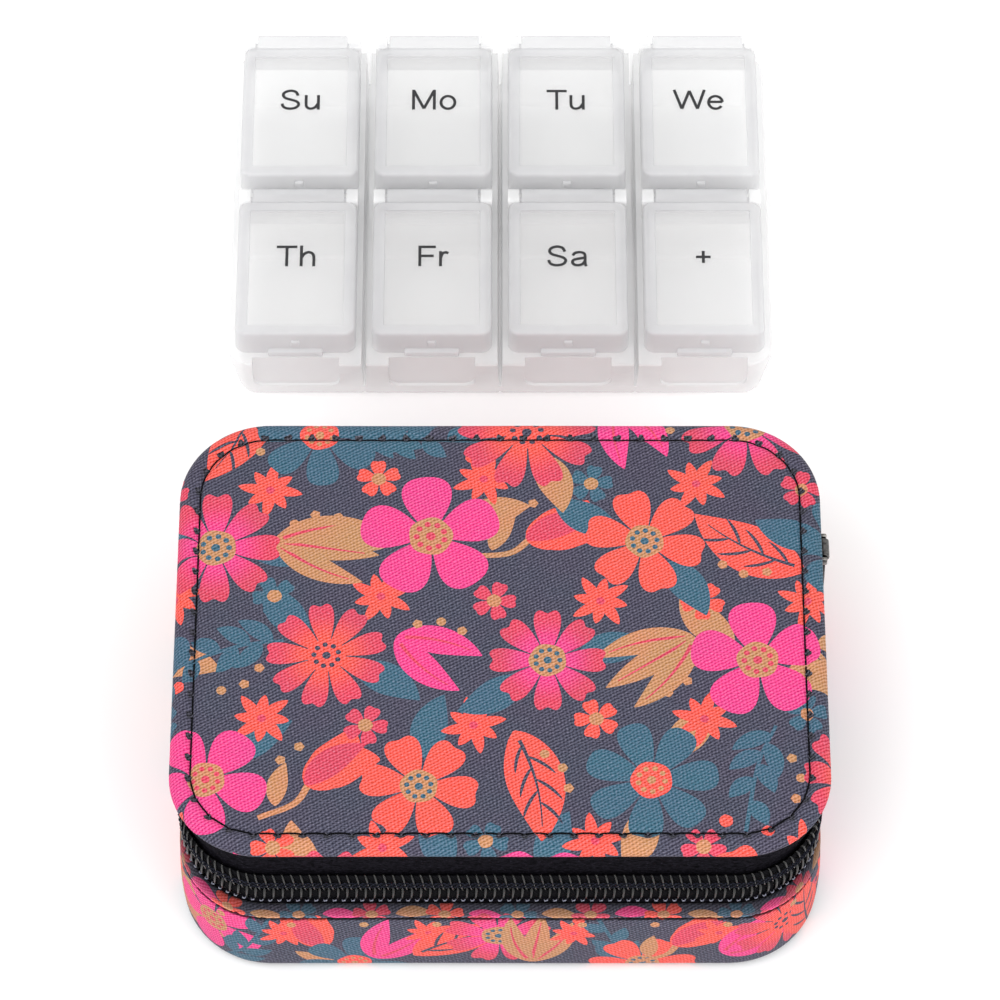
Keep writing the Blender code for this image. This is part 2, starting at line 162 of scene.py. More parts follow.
def outline_stops(core, radius):
    """Where each straight and bend of a rounded rectangle ends, from the middle of the front."""
    core_x, core_y = core
    bend = radius * math.pi / 2
    return np.cumsum([0, core_x, bend, 2 * core_y, bend, 2 * core_x, bend, 2 * core_y, bend, core_x])


def round_outline(core, out, along):
    """Points and directions round a rounded rectangle, from the middle of the front to the right."""
    core_x, core_y = core
    stops = outline_stops(core, CORNER)
    along = np.mod(along, stops[-1])
    foot_x = np.interp(along, stops, [0] + [core_x] * 4 + [-core_x] * 4 + [0])
    foot_y = np.interp(along, stops, [-core_y] * 3 + [core_y] * 4 + [-core_y] * 3)
    turn = np.radians(np.interp(along, stops, [-90, -90, 0, 0, 90, 90, 180, 180, 270, 270]))
    away = np.column_stack((np.cos(turn), np.sin(turn)))
    return np.column_stack((foot_x, foot_y)) + away * np.reshape(out, (-1, 1)), away


def round_length(core):
    """Length of the outline that round_outline follows."""
    return 4 * (core[0] + core[1]) + 2 * math.pi * CORNER


# ---- Meshes ----

def add_object(name, data):
    """Put a mesh, a light or a camera in the scene."""
    item = bpy.data.objects.new(name, data)
    bpy.context.scene.collection.objects.link(item)
    return item


def stored(name, mesh):
    """Keep a bmesh as mesh data, and free it."""
    data = bpy.data.meshes.new(name)
    mesh.to_mesh(data)
    mesh.free()
    return data


def add_mesh(name, mesh, materials, smooth_angle=40):
    """Turn a bmesh in millimetres into a named object."""
    bmesh.ops.scale(mesh, vec=(MM, MM, MM), verts=mesh.verts)
    data = stored(name, mesh)
    for material in materials:
        data.materials.append(material)
    data.shade_smooth()
    if smooth_angle:
        data.set_sharp_from_angle(angle=math.radians(smooth_angle))
    return add_object(name, data)


def finish_piece(item, body, slot, *nodes):
    """Fix a piece to its body and hide the nodes it stands for; the slot for its finish is not used."""
    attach(item, body)
    if nodes:
        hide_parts(*nodes)
    return item


def loft(rings, closed=False):
    """Join closed rings into one solid: capped at its ends, or closed into a loop."""
    mesh = bmesh.new()
    rows = [[mesh.verts.new(point) for point in points] for points in rings]
    pairs = list(zip(rows, rows[1:]))
    if closed:
        pairs.append((rows[-1], rows[0]))
    else:
        mesh.faces.new(rows[0])
        mesh.faces.new(rows[-1])
    for lower, upper in pairs:
        for index in range(len(lower)):
            following = (index + 1) % len(lower)
            mesh.faces.new((lower[index], lower[following], upper[following], upper[index]))
    bmesh.ops.recalc_face_normals(mesh, faces=mesh.faces)
    return mesh


def gather(meshes):
    """Put several shapes in one mesh."""
    joined = bmesh.new()
    for mesh in meshes:
        data = stored("gathered", mesh)
        joined.from_mesh(data)
        bpy.data.meshes.remove(data)
    return joined


def tube(line, radius, sides=6):
    """A round thread along a line, closed at both ends."""
    line = [Vector(point) for point in line]
    side = Vector((0.31, 0.22, 0.93))
    rings = []
    for index, point in enumerate(line):
        ahead = (line[min(index + 1, len(line) - 1)] - line[max(index - 1, 0)]).normalized()
        side = (side - ahead * side.dot(ahead)).normalized()
        other = ahead.cross(side)
        turns = [2 * math.pi * step / sides for step in range(sides)]
        rings.append([point + radius * (side * math.cos(t) + other * math.sin(t)) for t in turns])
    return loft(rings)


def plan_ring(half_x, half_y, radius, z, centre=(0.0, 0.0), steps=6):
    """A rounded rectangle at one height."""
    radius = max(radius, 0.05)
    points = []
    for quarter, (side_x, side_y) in enumerate(((1, 1), (-1, 1), (-1, -1), (1, -1))):
        for step in range(steps + 1):
            turn = math.pi / 2 * (quarter + step / steps)
            points.append(Vector((centre[0] + side_x * (half_x - radius) + radius * math.cos(turn),
                                  centre[1] + side_y * (half_y - radius) + radius * math.sin(turn), z)))
    return points


def block(low, high, soft=0.0):
    """A rectangular block, with its edges rounded."""
    mesh = bmesh.new()
    size = [b - a for a, b in zip(low, high)]
    middle = [(a + b) / 2 for a, b in zip(low, high)]
    bmesh.ops.create_cube(mesh, size=1.0, matrix=Matrix.Translation(middle) @ Matrix.Diagonal((*size, 1.0)))
    if soft:
        bmesh.ops.bevel(mesh, geom=mesh.edges[:], offset=soft, segments=3, profile=0.5, affect="EDGES")
    return mesh


def turned(stations, axis, middle=(0.0, 0.0, 0.0), steps=28):
    """A turned solid along X or Y, from (position, radius) stations."""
    rings = []
    for position, radius in stations:
        points = []
        for step in range(steps):
            turn = 2 * math.pi * (step + 0.5) / steps
            across, up = radius * math.cos(turn), radius * math.sin(turn)
            offset = (position, across, up) if axis == "X" else (across, position, up)
            points.append(Vector(middle) + Vector(offset))
        rings.append(points)
    return loft(rings)


def plate(outline, low, high, soft):
    """A flat piece in the Y-Z plane, between two X, with softened edges."""
    mesh = loft([[Vector((x, y, z)) for y, z in outline] for x in (low, high)])
    rims = [edge for edge in mesh.edges if edge.calc_face_angle(0.0) > 1.0]
    bmesh.ops.bevel(mesh, geom=rims, offset=soft, segments=2, profile=0.6, affect="EDGES")
    return mesh


def carved(mesh, steps):
    """Join or cut a mesh with others, in order, and return the result."""
    base = add_object("base", stored("base", mesh))
    tools = []
    for shape, operation in steps:
        tools.append(add_object("tool", stored("tool", shape)))
        modifier = base.modifiers.new(operation, "BOOLEAN")
        modifier.operation = operation
        modifier.solver = "EXACT"
        modifier.use_self = operation == "UNION"
        modifier.object = tools[-1]
    result = bmesh.new()
    result.from_object(base, bpy.context.evaluated_depsgraph_get())
    for item in [base, *tools]:
        bpy.data.meshes.remove(item.data)
    bmesh.ops.dissolve_degenerate(result, dist=1e-4, edges=result.edges)
    return result


# ---- Printed cloth ----

class Pattern:
    """Shapes for a print, in the order they are printed, as points in the flat cloth's plane."""

    def __init__(self):
        self.shapes = []

    def shape(self, points, dye, fade=None):
        """One printed area. fade is (centre, near, far, dye): that dye near the centre."""
        self.shapes.append((points, dye, fade))

    def disc(self, centre, radius, dye, wobble=0.04, lobes=5):
        count = max(10, int(radius * 9))
        turns = [2 * math.pi * step / count for step in range(count)]
        self.shape([centre + cmath.rect(radius * (1 + wobble * math.cos(lobes * t + centre.real)), t)
                    for t in turns], dye)

    def petal(self, centre, turn, near, far, half_angle, dye, notch=0.0, fade=None, steps=26):
        points = []
        for step in range(steps + 1):
            across = math.sin(math.pi * (step / steps - 0.5))
            shoulder = (1 - abs(across) ** 3.2) ** 0.45
            reach = near + (far - near) * shoulder * (1 - notch * math.exp(-(across / 0.28) ** 2))
            points.append(centre + cmath.rect(reach, turn + half_angle * across))
        self.shape(points, dye, fade)

    def ribbon(self, line, widths, dye):
        """A strip along a line of points, with half widths."""
        line = [complex(*point) for point in line]
        left, right = [], []
        for index, point in enumerate(line):
            ahead = line[min(index + 1, len(line) - 1)] - line[max(index - 1, 0)]
            across = 1j * ahead / abs(ahead) * widths[index]
            left.append(point + across)
            right.append(point - across)
        self.shape(left + right[::-1], dye)

    def stem(self, points, width, dye):
        line = smooth_line([(p.real, p.imag) for p in points], 7)
        self.ribbon(line, [width * (0.75 + 0.25 * index / len(line)) for index in range(len(line))], dye)

    def leaf(self, start, end, width, dye, bend=0.15, vein=None, blunt=0.8, steps=22):
        """A leaf from its stalk to its tip, with a midrib if vein is a dye."""
        across = 1j * (end - start)
        middle = (start + end) / 2 + across * bend
        line, widths = [], []
        for step in range(steps + 1):
            t = step / steps
            point = (1 - t) ** 2 * start + 2 * t * (1 - t) * middle + t ** 2 * end
            line.append((point.real, point.imag))
            swell = math.sin(math.pi * min(t ** 0.85 * 0.99 + 0.01, 0.997))
            widths.append(width * max(swell, 0.015) ** blunt)
        self.ribbon(line, widths, dye)
        if vein:
            inner = line[2:-3]
            self.ribbon(inner, [0.3 * (1 - index / len(inner)) + 0.08 for index in range(len(inner))], vein)

    def veined_leaf(self, start, end, width, dye, bend, vein, pairs=3):
        """A broad leaf with a midrib and side veins."""
        self.leaf(start, end, width, dye, bend, vein, 0.85)
        across = 1j * (end - start)
        middle = (start + end) / 2 + across * bend
        for index in range(pairs * 2):
            t = 0.14 + 0.62 * index / (pairs * 2)
            root = (1 - t) ** 2 * start + 2 * t * (1 - t) * middle + t ** 2 * end
            ahead = 2 * (1 - t) * (middle - start) + 2 * t * (end - middle)
            side = 1 if index % 2 else -1
            reach = width * (1.25 - 0.5 * abs(t - 0.4))
            tip = root + ahead / abs(ahead) * cmath.rect(reach, side * 0.62)
            self.leaf(root, tip, 0.34, vein, 0.12 * side, blunt=0.4, steps=8)

    def tulip(self, root, tip, width, dye, inner):
        """A closed cup of three pointed petals."""
        across = 1j * (tip - root) * 0.3
        for side in (-1, 1):
            self.leaf(root, tip + across * side, width, dye, -0.22 * side, blunt=0.7)
        self.leaf(root, tip, width * 0.62, inner, blunt=0.8)

    def flower(self, centre, radius, petals, dye, turn, notch, heart, seeds, fade=None):
        """An open flower: rounded petals round a heart with one ring of seeds."""
        step = 2 * math.pi / petals
        tint = (centre, radius * 0.3, radius * 0.85, fade) if fade else None
        for index in range(petals):
            self.petal(centre, turn + index * step, radius * 0.2, radius, step / 2 * 0.93, dye, notch, tint)
        self.disc(centre, radius * 0.31, heart, 0.03)
        self.disc(centre, radius * 0.07, seeds)
        for index in range(9):
            seed = cmath.rect(radius * 0.2, turn + index * 2 * math.pi / 9)
            self.disc(centre + seed, radius * 0.045, seeds)

    def small_flower(self, centre, radius, dye, turn=0.0, petals=5, heart=None, notch=0.1):
        for index in range(petals):
            self.petal(centre, turn + 2 * math.pi * index / petals, 0.05 * radius, radius,
                       math.pi / petals * 0.92, dye, notch, steps=14)
        if heart:
            self.disc(centre, radius * 0.32, heart)

    def daisy(self, centre, radius, dye, turn, petals=8, heart="rose"):
        for index in range(petals):
            angle = turn + 2 * math.pi * index / petals
            reach = radius * (1 + 0.1 * math.cos(3.1 * index))
            self.leaf(centre, centre + cmath.rect(reach, angle), radius * 0.2, dye, 0.06, blunt=0.6, steps=12)
        self.disc(centre, radius * 0.24, dye)
        self.disc(centre, radius * 0.15, heart)

    def sprig(self, points, leaves, length, width, dye):
        """A stem with leaves on both sides, drawn towards its tip."""
        self.stem(points, 0.42, dye)
        line = [complex(*point) for point in smooth_line([(p.real, p.imag) for p in points], 12)]
        for index in range(leaves):
            at = int((0.16 + 0.8 * index / leaves) * (len(line) - 2))
            ahead = (line[at + 1] - line[at]) / abs(line[at + 1] - line[at])
            side = 1 if index % 2 else -1
            reach = length * (1 - 0.35 * index / leaves)
            self.leaf(line[at], line[at] + ahead * cmath.rect(reach, side * 0.7), width, dye, 0.12 * side)


def cut_flat(points, polygons, inner=()):
    """Cut polygons into the sheet that points outline.

    Returns the flat points, and each triangle with the last polygon that covers it; the sheet is 0.
    """
    faces = [list(range(len(points)))]
    points = list(points)
    for polygon in polygons:
        turned_left = sum((p.conjugate() * q).imag for p, q in zip(polygon, polygon[1:] + polygon[:1])) > 0
        faces.append(list(range(len(points), len(points) + len(polygon))))
        points += polygon if turned_left else polygon[::-1]
    points += inner
    corners_2d = [Vector((p.real, p.imag)) for p in points]
    flat, _, triangles, _, _, owners = delaunay_2d_cdt(corners_2d, [], faces, 1, 1e-5)
    return flat, [(face, max(owner)) for face, owner in zip(triangles, owners) if 0 in owner]


def strip_grid(columns, rows):
    """Outline and inner points of a rectangular sheet."""
    outline = [(x, rows[0]) for x in columns] + [(columns[-1], y) for y in rows[1:-1]]
    outline += [(x, rows[-1]) for x in columns[::-1]] + [(columns[0], y) for y in rows[-2:0:-1]]
    return outline, [(x, y) for y in rows[1:-1] for x in columns[1:-1]]


def cloth_piece(name, outline, inner, shapes, place, materials, shade=None):
    """Cut shapes into a flat sheet, wrap it by place(), and give each area its dye.

    shade is (places along the sheet, how light it is there): painted shade and a painted highlight along a
    fold.
    """
    points = [complex(*point) for point in outline]
    low = min(p.real for p in points) + 1j * min(p.imag for p in points)
    high = max(p.real for p in points) + 1j * max(p.imag for p in points)
    polygons = []
    areas = [("ground", None)]
    for polygon, dye, fade in shapes:
        right, left = max(p.real for p in polygon), min(p.real for p in polygon)
        top, bottom = max(p.imag for p in polygon), min(p.imag for p in polygon)
        if right < low.real or left > high.real or top < low.imag or bottom > high.imag:
            continue
        polygons.append(polygon)
        areas.append((dye, fade))
    flat, kept = cut_flat(points, polygons, [complex(*point) for point in inner])
    flat = np.array([tuple(p) for p in flat])
    used = np.unique(np.array([face for face, _ in kept]).ravel())
    index_of = np.full(len(flat), -1)
    index_of[used] = np.arange(len(used))
    flat = flat[used]

    step = 0.04
    solid = place(flat)
    right = place(flat + [step, 0.0]) - place(flat - [step, 0.0])
    ahead = place(flat + [0.0, step]) - place(flat - [0.0, step])
    normals = np.cross(right, ahead)
    normals /= np.maximum(np.linalg.norm(normals, axis=1), 1e-9)[:, None]

    data = bpy.data.meshes.new(name)
    data.from_pydata((solid * MM).tolist(), [], [index_of[list(face)].tolist() for face, _ in kept])
    dyes = {key: np.array(linear(value)) for key, value in DYES.items()}
    colours = np.ones((len(kept) * 3, 4), np.float32)
    for number, (face, owner) in enumerate(kept):
        dye, fade = areas[owner]
        for corner, vertex in enumerate(face):
            colour = dyes[dye]
            if fade:
                centre, near, far, second = fade
                spot = flat[index_of[vertex]]
                distance = abs(complex(*spot) - centre)
                share = min(max((far - distance) / (far - near), 0.0), 1.0)
                colour = colour + (dyes[second] - colour) * share * share * (3 - 2 * share)
            # The colour's alpha carries the painted shade and painted highlight of the fold.
            if shade:
                colours[3 * number + corner, 3] = np.interp(flat[index_of[vertex]][1], *shade)
            colours[3 * number + corner, :3] = colour
    data.color_attributes.new("dye", "FLOAT_COLOR", "CORNER").data.foreach_set("color", colours.ravel())
    laid = np.column_stack((flat, np.zeros(len(flat)))).astype(np.float32)
    data.attributes.new("cloth", "FLOAT_VECTOR", "POINT").data.foreach_set("vector", laid.ravel())
    data.shade_smooth()
    data.normals_split_custom_set_from_vertices(normals.tolist())
    for material in materials:
        data.materials.append(material)
    return add_object(name, data)


class Dome:
    """A sheet wrapped over a rounded rectangle, with one section all round."""

    def __init__(self, core, points, flip=False):
        self.core = np.array(core)
        self.profile = Profile(points)
        self.flip = flip

    def foot(self, flat):
        """Nearest point of the core, the way out from it, and how far out."""
        near = np.clip(flat, -self.core, self.core)
        away = flat - near
        reach = np.linalg.norm(away, axis=1)
        return near, away / np.maximum(reach, 1e-6)[:, None], reach

    def place(self, flat):
        near, away, reach = self.foot(flat)
        out, up = self.profile.at(reach)
        laid = near + away * out[:, None]
        if self.flip:
            laid = laid * [1.0, -1.0]
        return np.column_stack((laid, up + self.relief(flat, reach)))

    def relief(self, flat, reach):
        """A faint unevenness, as cloth over a pad has."""
        return 0.05 * np.sin(0.13 * flat[:, 0] + 0.8) * np.sin(0.17 * flat[:, 1] + 0.3)

    def grid(self, spacing, rings, along):
        """Outline and inner points: a plain grid inside, then closer rings towards the edge."""
        inner = []
        first = rings[0]
        rows = int((self.core[1] + first) // (spacing * 0.87))
        for row in range(-rows, rows + 1):
            y = row * spacing * 0.87
            columns = int((self.core[0] + first) // spacing)
            for column in range(-columns, columns + 1):
                inner.append(((column + 0.5 * (row % 2)) * spacing, y))
        reach = self.foot(np.array(inner))[2]
        inner = [point for point, far in zip(inner, reach) if far < first - 0.4 * spacing]
        count = int(round_length(self.core) / along)
        edges = []
        for ring in rings:
            stops = np.linspace(0, round_length(self.core), count, endpoint=False)
            points, _ = round_outline(self.core, ring, stops)
            edges.append([tuple(point) for point in points])
        for ring in edges[:-1]:
            inner += ring
        return edges[-1], inner

    def size(self):
        """The flat cut's width and length, in metres."""
        return tuple(2 * MM * (side + self.profile.length) for side in self.core)


class Band:
    """A strip wrapped round a rounded rectangle; its own length runs along the outline."""

    def __init__(self, core, points):
        self.core = core
        self.profile = Profile(points)
        self.around = round_length(core)

    def place(self, flat):
        out, up = self.profile.at(flat[:, 1])
        swell = 0.06 * np.sin(0.11 * flat[:, 0]) * np.sin(math.pi * flat[:, 1] / self.profile.length)
        points, _ = round_outline(self.core, out + swell, flat[:, 0])
        return np.column_stack((points, up))

    def grid(self, along, rows):
        """Outline and inner points, with a hair's gap where the two ends meet."""
        end = self.around / 2 - 1e-3
        return strip_grid(np.linspace(-end, end, int(self.around / along)), rows)

    def size(self):
        return (self.profile.length * MM, self.around * MM)


class StitchedLid(Dome):
    """The lid's cover, drawn down along a stitch line."""

    def __init__(self, core, points):
        super().__init__(core, points)
        self.stitch_reach = self.profile.reach(STITCH_OUT)
        outline = 4 * (core[0] + core[1]) + 2 * math.pi * STITCH_OUT
        self.stitches = int(round(outline / STITCH_PITCH))
        self.holes = self.stitch_points(np.arange(self.stitches), 0.5)

    def stitch_points(self, number, beyond=0.0):
        """Flat points along the stitch line, at that many stitches round from the front."""
        true = outline_stops(self.core, STITCH_OUT)
        drawn = outline_stops(self.core, CORNER)
        along = np.interp(np.mod(number / self.stitches, 1.0) * true[-1], true, drawn)
        points, _ = round_outline(self.core, self.stitch_reach + beyond, along)
        return points

    def painted_hole_shadows(self):
        """Painted shadows in the mouths of the needle holes, as dark printed areas."""
        marks = Pattern()
        for x, y in self.holes:
            marks.disc(complex(x, y), 0.8, "hole", 0.2, 3)
        return marks.shapes

    def relief(self, flat, reach):
        """Cloth swells between the holes and dips at each of them."""
        rise = super().relief(flat, reach)
        near = np.abs(reach - self.stitch_reach - 0.4) < 3.2
        if near.any():
            gaps = np.linalg.norm(flat[near][:, None, :] - self.holes[None, :, :], axis=2).min(axis=1)
            beyond = reach[near] - self.stitch_reach
            pucker = 0.62 * np.exp(-(gaps / 0.7) ** 2)
            swell = 0.42 * np.exp(-((beyond - 1.3) / 0.8) ** 2) + 0.16 * np.exp(-((beyond + 1.2) / 0.8) ** 2)
            rise[near] += swell * (np.minimum(gaps, STITCH_PITCH / 2) / STITCH_PITCH * 2 - 0.5) - pucker
        return rise


# ---- Materials ----

class Finish:
    """A Principled material, and short calls that add and join its nodes."""

    def __init__(self, name, sockets):
        self.material = bpy.data.materials.new(name)
        self.material.use_nodes = True
        self.tree = self.material.node_tree
        self.shader = self.tree.nodes["Principled BSDF"]
        self.feed(self.shader, sockets)

    def feed(self, node, sockets):
        for key, value in sockets.items():
            if isinstance(value, bpy.types.NodeSocket):
                self.tree.links.new(value, node.inputs[key])
            else:
                node.inputs[key].default_value = value

    def add(self, kind, sockets=None, **settings):
        node = self.tree.nodes.new("ShaderNode" + kind)
        for key, value in settings.items():
            setattr(node, key, value)
        self.feed(node, sockets or {})
        return node

    def math(self, operation, *values):
        node = self.add("Math", dict(enumerate(values)), operation=operation)
        return node.outputs[0]

    def vector(self, operation, *values):
        node = self.add("VectorMath", dict(enumerate(values)), operation=operation)
        return node.outputs[1 if operation == "DOT_PRODUCT" else 0]

    def laid(self):
        """Place on the flat cloth, in millimetres."""
        return self.add("Attribute", attribute_name="cloth", attribute_type="GEOMETRY").outputs["Vector"]

    def local(self):
        """Place on the piece, in millimetres."""
        node = self.add("TexCoord")
        return self.scaled(node.outputs["Object"], 1 / MM)

    def scaled(self, vector, factor):
        node = self.add("VectorMath", {0: vector, "Scale": factor}, operation="SCALE")
        return node.outputs[0]

    def noise(self, vector, scale, detail=2.0, roughness=0.5, output="Fac"):
        sockets = {"Vector": vector, "Scale": scale, "Detail": detail, "Roughness": roughness}
        return self.add("TexNoise", sockets).outputs[output]

    def rib(self, vector, direction, pitch, angle=0.0):
        """A wave across a direction, from -1 to 1."""
        turn = 2 * math.pi / pitch
        phase = self.vector("DOT_PRODUCT", vector, tuple(part * turn for part in direction))
        return self.math("SINE", self.math("ADD", phase, angle))

    def spread(self, value, from_low, from_high, to_low, to_high):
        sockets = {0: value, 1: from_low, 2: from_high, 3: to_low, 4: to_high}
        return self.add("MapRange", sockets).outputs[0]

    def mix(self, share, first, second, blend="MIX"):
        node = self.add("Mix", {0: share, 6: first, 7: second}, data_type="RGBA", blend_type=blend)
        return node.outputs[2]

    def graded(self, value, low, high, first, second):
        """From one screen colour to another, as a value goes from low to high."""
        return self.mix(self.spread(value, low, high, 0.0, 1.0), rgba(first), rgba(second))

    def shade(self, colour, factor):
        """A colour made lighter or darker by a value."""
        grey = self.add("CombineXYZ", {0: factor, 1: factor, 2: factor}).outputs[0]
        return self.vector("MULTIPLY", colour, grey)

    def bump(self, height, distance, strength=1.0):
        """Relief of that many millimetres."""
        sockets = {"Height": height, "Distance": distance * MM, "Strength": strength}
        self.feed(self.shader, {"Normal": self.add("Bump", sockets).outputs[0]})


def rgba(colour):
    """A screen colour for a colour socket."""
    return (*linear(colour), 1.0)


def woven(look, place, pitch, lean):
    """Height, from 0 to 1, of a weave whose ribs lean by that angle, and the threads' own waver."""
    waver = look.vector("SUBTRACT", look.noise(place, 0.9, 1.0, output="Color"), (0.5, 0.5, 0.5))
    drawn = look.vector("ADD", place, look.scaled(waver, 0.7 * pitch))
    turn = math.radians(lean)
    across = look.rib(drawn, (-math.sin(turn), math.cos(turn), 0.0), pitch)
    over = look.rib(drawn, (math.cos(turn + 0.6), math.sin(turn + 0.6), 0.0), pitch * 0.92)
    plain = look.math("MULTIPLY", across, over)
    raised = look.math("ADD", look.math("MULTIPLY", across, 0.5), look.math("MULTIPLY", plain, 0.5))
    return look.spread(raised, -1.0, 1.0, 0.0, 1.0)


def printed_canvas():
    """Coated canvas with a fine leaning grain; its fibres take the dye unevenly, the weave's hollows carry
    painted shade and its crowns a painted highlight.
    """
    look = Finish("printed_canvas", {"Roughness": 0.62, "Specular IOR Level": 0.14, "Sheen Weight": 0.05,
                                     "Sheen Roughness": 0.4})
    place = look.laid()
    print_and_shade_node = look.add("Attribute", attribute_name="dye", attribute_type="GEOMETRY")
    dye = print_and_shade_node.outputs["Color"]
    height = woven(look, place, 0.64, 30.0)
    fibre = look.noise(place, 2.6, 3.0, 0.7)
    cloud = look.noise(place, 0.09, 2.0)
    # Painted shade in the weave's hollows and a painted highlight on its crowns, both from the weave's
    # height.
    shaded = look.shade(dye, look.spread(height, 0.15, 0.85, 0.58, 1.18))
    shaded = look.mix(look.spread(height, 0.3, 0.9, 0.0, 1.0), shaded, (0.06, 0.063, 0.082, 1.0), "ADD")
    cool = look.mix(look.spread(cloud, 0.35, 0.65, 0.0, 1.0), (1.06, 0.96, 1.0, 1.0), (0.93, 1.03, 1.02, 1.0))
    tinted = look.vector("MULTIPLY", shaded, cool)
    speck = look.math("MULTIPLY", look.spread(fibre, 0.45, 0.7, 0.02, 0.42), height)
    lifted = look.mix(speck, tinted, rgba((176, 170, 190)))
    dark = look.spread(fibre, 0.25, 0.42, 0.55, 0.0)
    # Times the print's alpha: painted shade and a painted highlight along the base wall's fold, 1 elsewhere.
    colour = look.shade(look.mix(dark, lifted, look.shade(lifted, 0.45)), print_and_shade_node.outputs["Alpha"])
    look.feed(look.shader, {"Base Color": colour, "Roughness": look.spread(height, 0.0, 1.0, 0.75, 0.55)})
    relief = look.math("ADD", height, look.math("MULTIPLY", fibre, 0.5))
    look.bump(relief, 0.11, 0.9)
    return look.material


def lining_cloth():
    """Thin black nylon with a checked ripstop grain."""
    look = Finish("lining_nylon", {"Roughness": 0.5, "Sheen Weight": 0.15, "Sheen Roughness": 0.4})
    place = look.laid()
    fine = woven(look, place, 0.34, 0.0)
    bars = look.math("MAXIMUM", look.rib(place, (1, 0, 0), 2.6), look.rib(place, (0, 1, 0), 2.6))
    cord = look.spread(bars, 0.9, 1.0, 0.0, 1.0)
    fibre = look.noise(place, 2.0, 3.0)
    colour = look.mix(fibre, rgba((24, 24, 28)), rgba((44, 44, 50)))
    colour = look.mix(look.math("MULTIPLY", cord, 0.4), colour, rgba((66, 66, 74)))
    look.feed(look.shader, {"Base Color": colour, "Roughness": look.spread(fine, 0, 1, 0.62, 0.42)})
    look.bump(look.math("ADD", fine, cord), 0.06, 0.8)
    return look.material


def tape_cloth():
    """Black woven zip tape, with a short slanting nap and a little lint on it."""
    look = Finish("zip_tape_weave", {"Roughness": 0.9, "Specular IOR Level": 0.03})
    place = look.local()
    nap = look.noise(look.vector("MULTIPLY", place, (0.55, 0.55, 1.9)), 1.5, 4.0, 0.75)
    fibre = look.noise(look.vector("MULTIPLY", place, (0.5, 0.5, 2.6)), 2.4, 2.0, 0.7)
    lint = look.spread(fibre, 0.56, 0.7, 0.0, 1.0)
    colour = look.graded(nap, 0.38, 0.62, (2, 2, 3), (27, 25, 31))
    colour = look.mix(look.math("MULTIPLY", lint, 0.5), colour, rgba((66, 62, 76)))
    look.feed(look.shader, {"Base Color": colour, "Roughness": look.spread(nap, 0.3, 0.7, 0.95, 0.8)})
    look.bump(look.math("ADD", nap, look.math("MULTIPLY", lint, 0.6)), 0.2, 0.9)
    return look.material


def coil_nylon():
    """Black nylon monofilament: glossy, with faint rubbed marks."""
    look = Finish("coil_nylon", {"Roughness": 0.16, "Specular IOR Level": 0.5})
    place = look.local()
    cloud = look.noise(place, 0.5, 2.0)
    rub = look.spread(look.noise(place, 4.0, 3.0, 0.7), 0.5, 0.8, 0.0, 1.0)
    colour = look.graded(cloud, 0.4, 0.6, (3, 3, 4), (9, 9, 9))
    colour = look.mix(look.math("MULTIPLY", rub, 0.3), colour, rgba((96, 92, 84)))
    look.feed(look.shader, {"Base Color": colour, "Roughness": look.spread(rub, 0, 1, 0.2, 0.42)})
    look.bump(rub, 0.02, 0.6)
    return look.material


def thread(name, dark, light, pitch=0.5):
    """Sewing thread: twisted plies with stray fibres."""
    look = Finish(name, {"Roughness": 0.75, "Specular IOR Level": 0.06})
    place = look.local()
    ply = look.rib(place, (0.6, 0.6, 0.53), pitch)
    fibre = look.noise(place, 6.0, 2.0, 0.7)
    share = look.math("MULTIPLY", look.spread(ply, -1, 1, 0.2, 1.0), fibre)
    colour = look.mix(share, rgba(dark), rgba(light))
    look.feed(look.shader, {"Base Color": colour, "Roughness": look.spread(fibre, 0, 1, 0.6, 0.85)})
    look.bump(look.math("ADD", ply, fibre), 0.05, 0.7)
    return look.material


def foam():
    """Closed-cell foam: fine open pores in its cut faces."""
    look = Finish("foam", {"Roughness": 0.95})
    place = look.local()
    cells = look.add("TexVoronoi", {"Vector": place, "Scale": 2.6}).outputs["Distance"]
    cloud = look.noise(place, 0.2, 2.0)
    colour = look.mix(cloud, rgba((206, 203, 192)), rgba((230, 228, 220)))
    look.feed(look.shader, {"Base Color": look.shade(colour, look.spread(cells, 0.0, 0.5, 0.8, 1.0)),
                            "Roughness": look.spread(cells, 0, 0.5, 1.0, 0.85)})
    look.bump(cells, 0.12, 0.8)
    return look.material


def board():
    """Grey fibre board that stiffens the case."""
    look = Finish("fibre_board", {"Roughness": 0.8})
    place = look.local()
    fibre = look.noise(place, 1.4, 5.0, 0.75)
    colour = look.graded(fibre, 0.3, 0.7, (92, 90, 88), (132, 129, 124))
    look.feed(look.shader, {"Base Color": colour, "Roughness": look.spread(fibre, 0.3, 0.7, 0.9, 0.7)})
    look.bump(fibre, 0.06, 0.6)
    return look.material


def zip_metal():
    """Black-plated zinc, with bright metal where the plating has worn off its edges."""
    look = Finish("zip_metal", {"Metallic": 1.0, "Roughness": 0.32})
    place = look.local()
    cloud = look.noise(place, 1.2, 4.0, 0.65)
    edge = look.spread(look.add("NewGeometry").outputs["Pointiness"], 0.52, 0.6, 0.0, 1.0)
    worn = look.math("MULTIPLY", edge, look.spread(cloud, 0.35, 0.6, 0.2, 1.0))
    colour = look.graded(cloud, 0.3, 0.7, (44, 43, 46), (62, 61, 64))
    colour = look.mix(worn, colour, rgba((168, 165, 160)))
    look.feed(look.shader, {"Base Color": colour, "Roughness": look.spread(cloud, 0.3, 0.7, 0.26, 0.42)})
    look.bump(look.noise(place, 7.0, 3.0, 0.6), 0.01, 0.5)
    return look.material


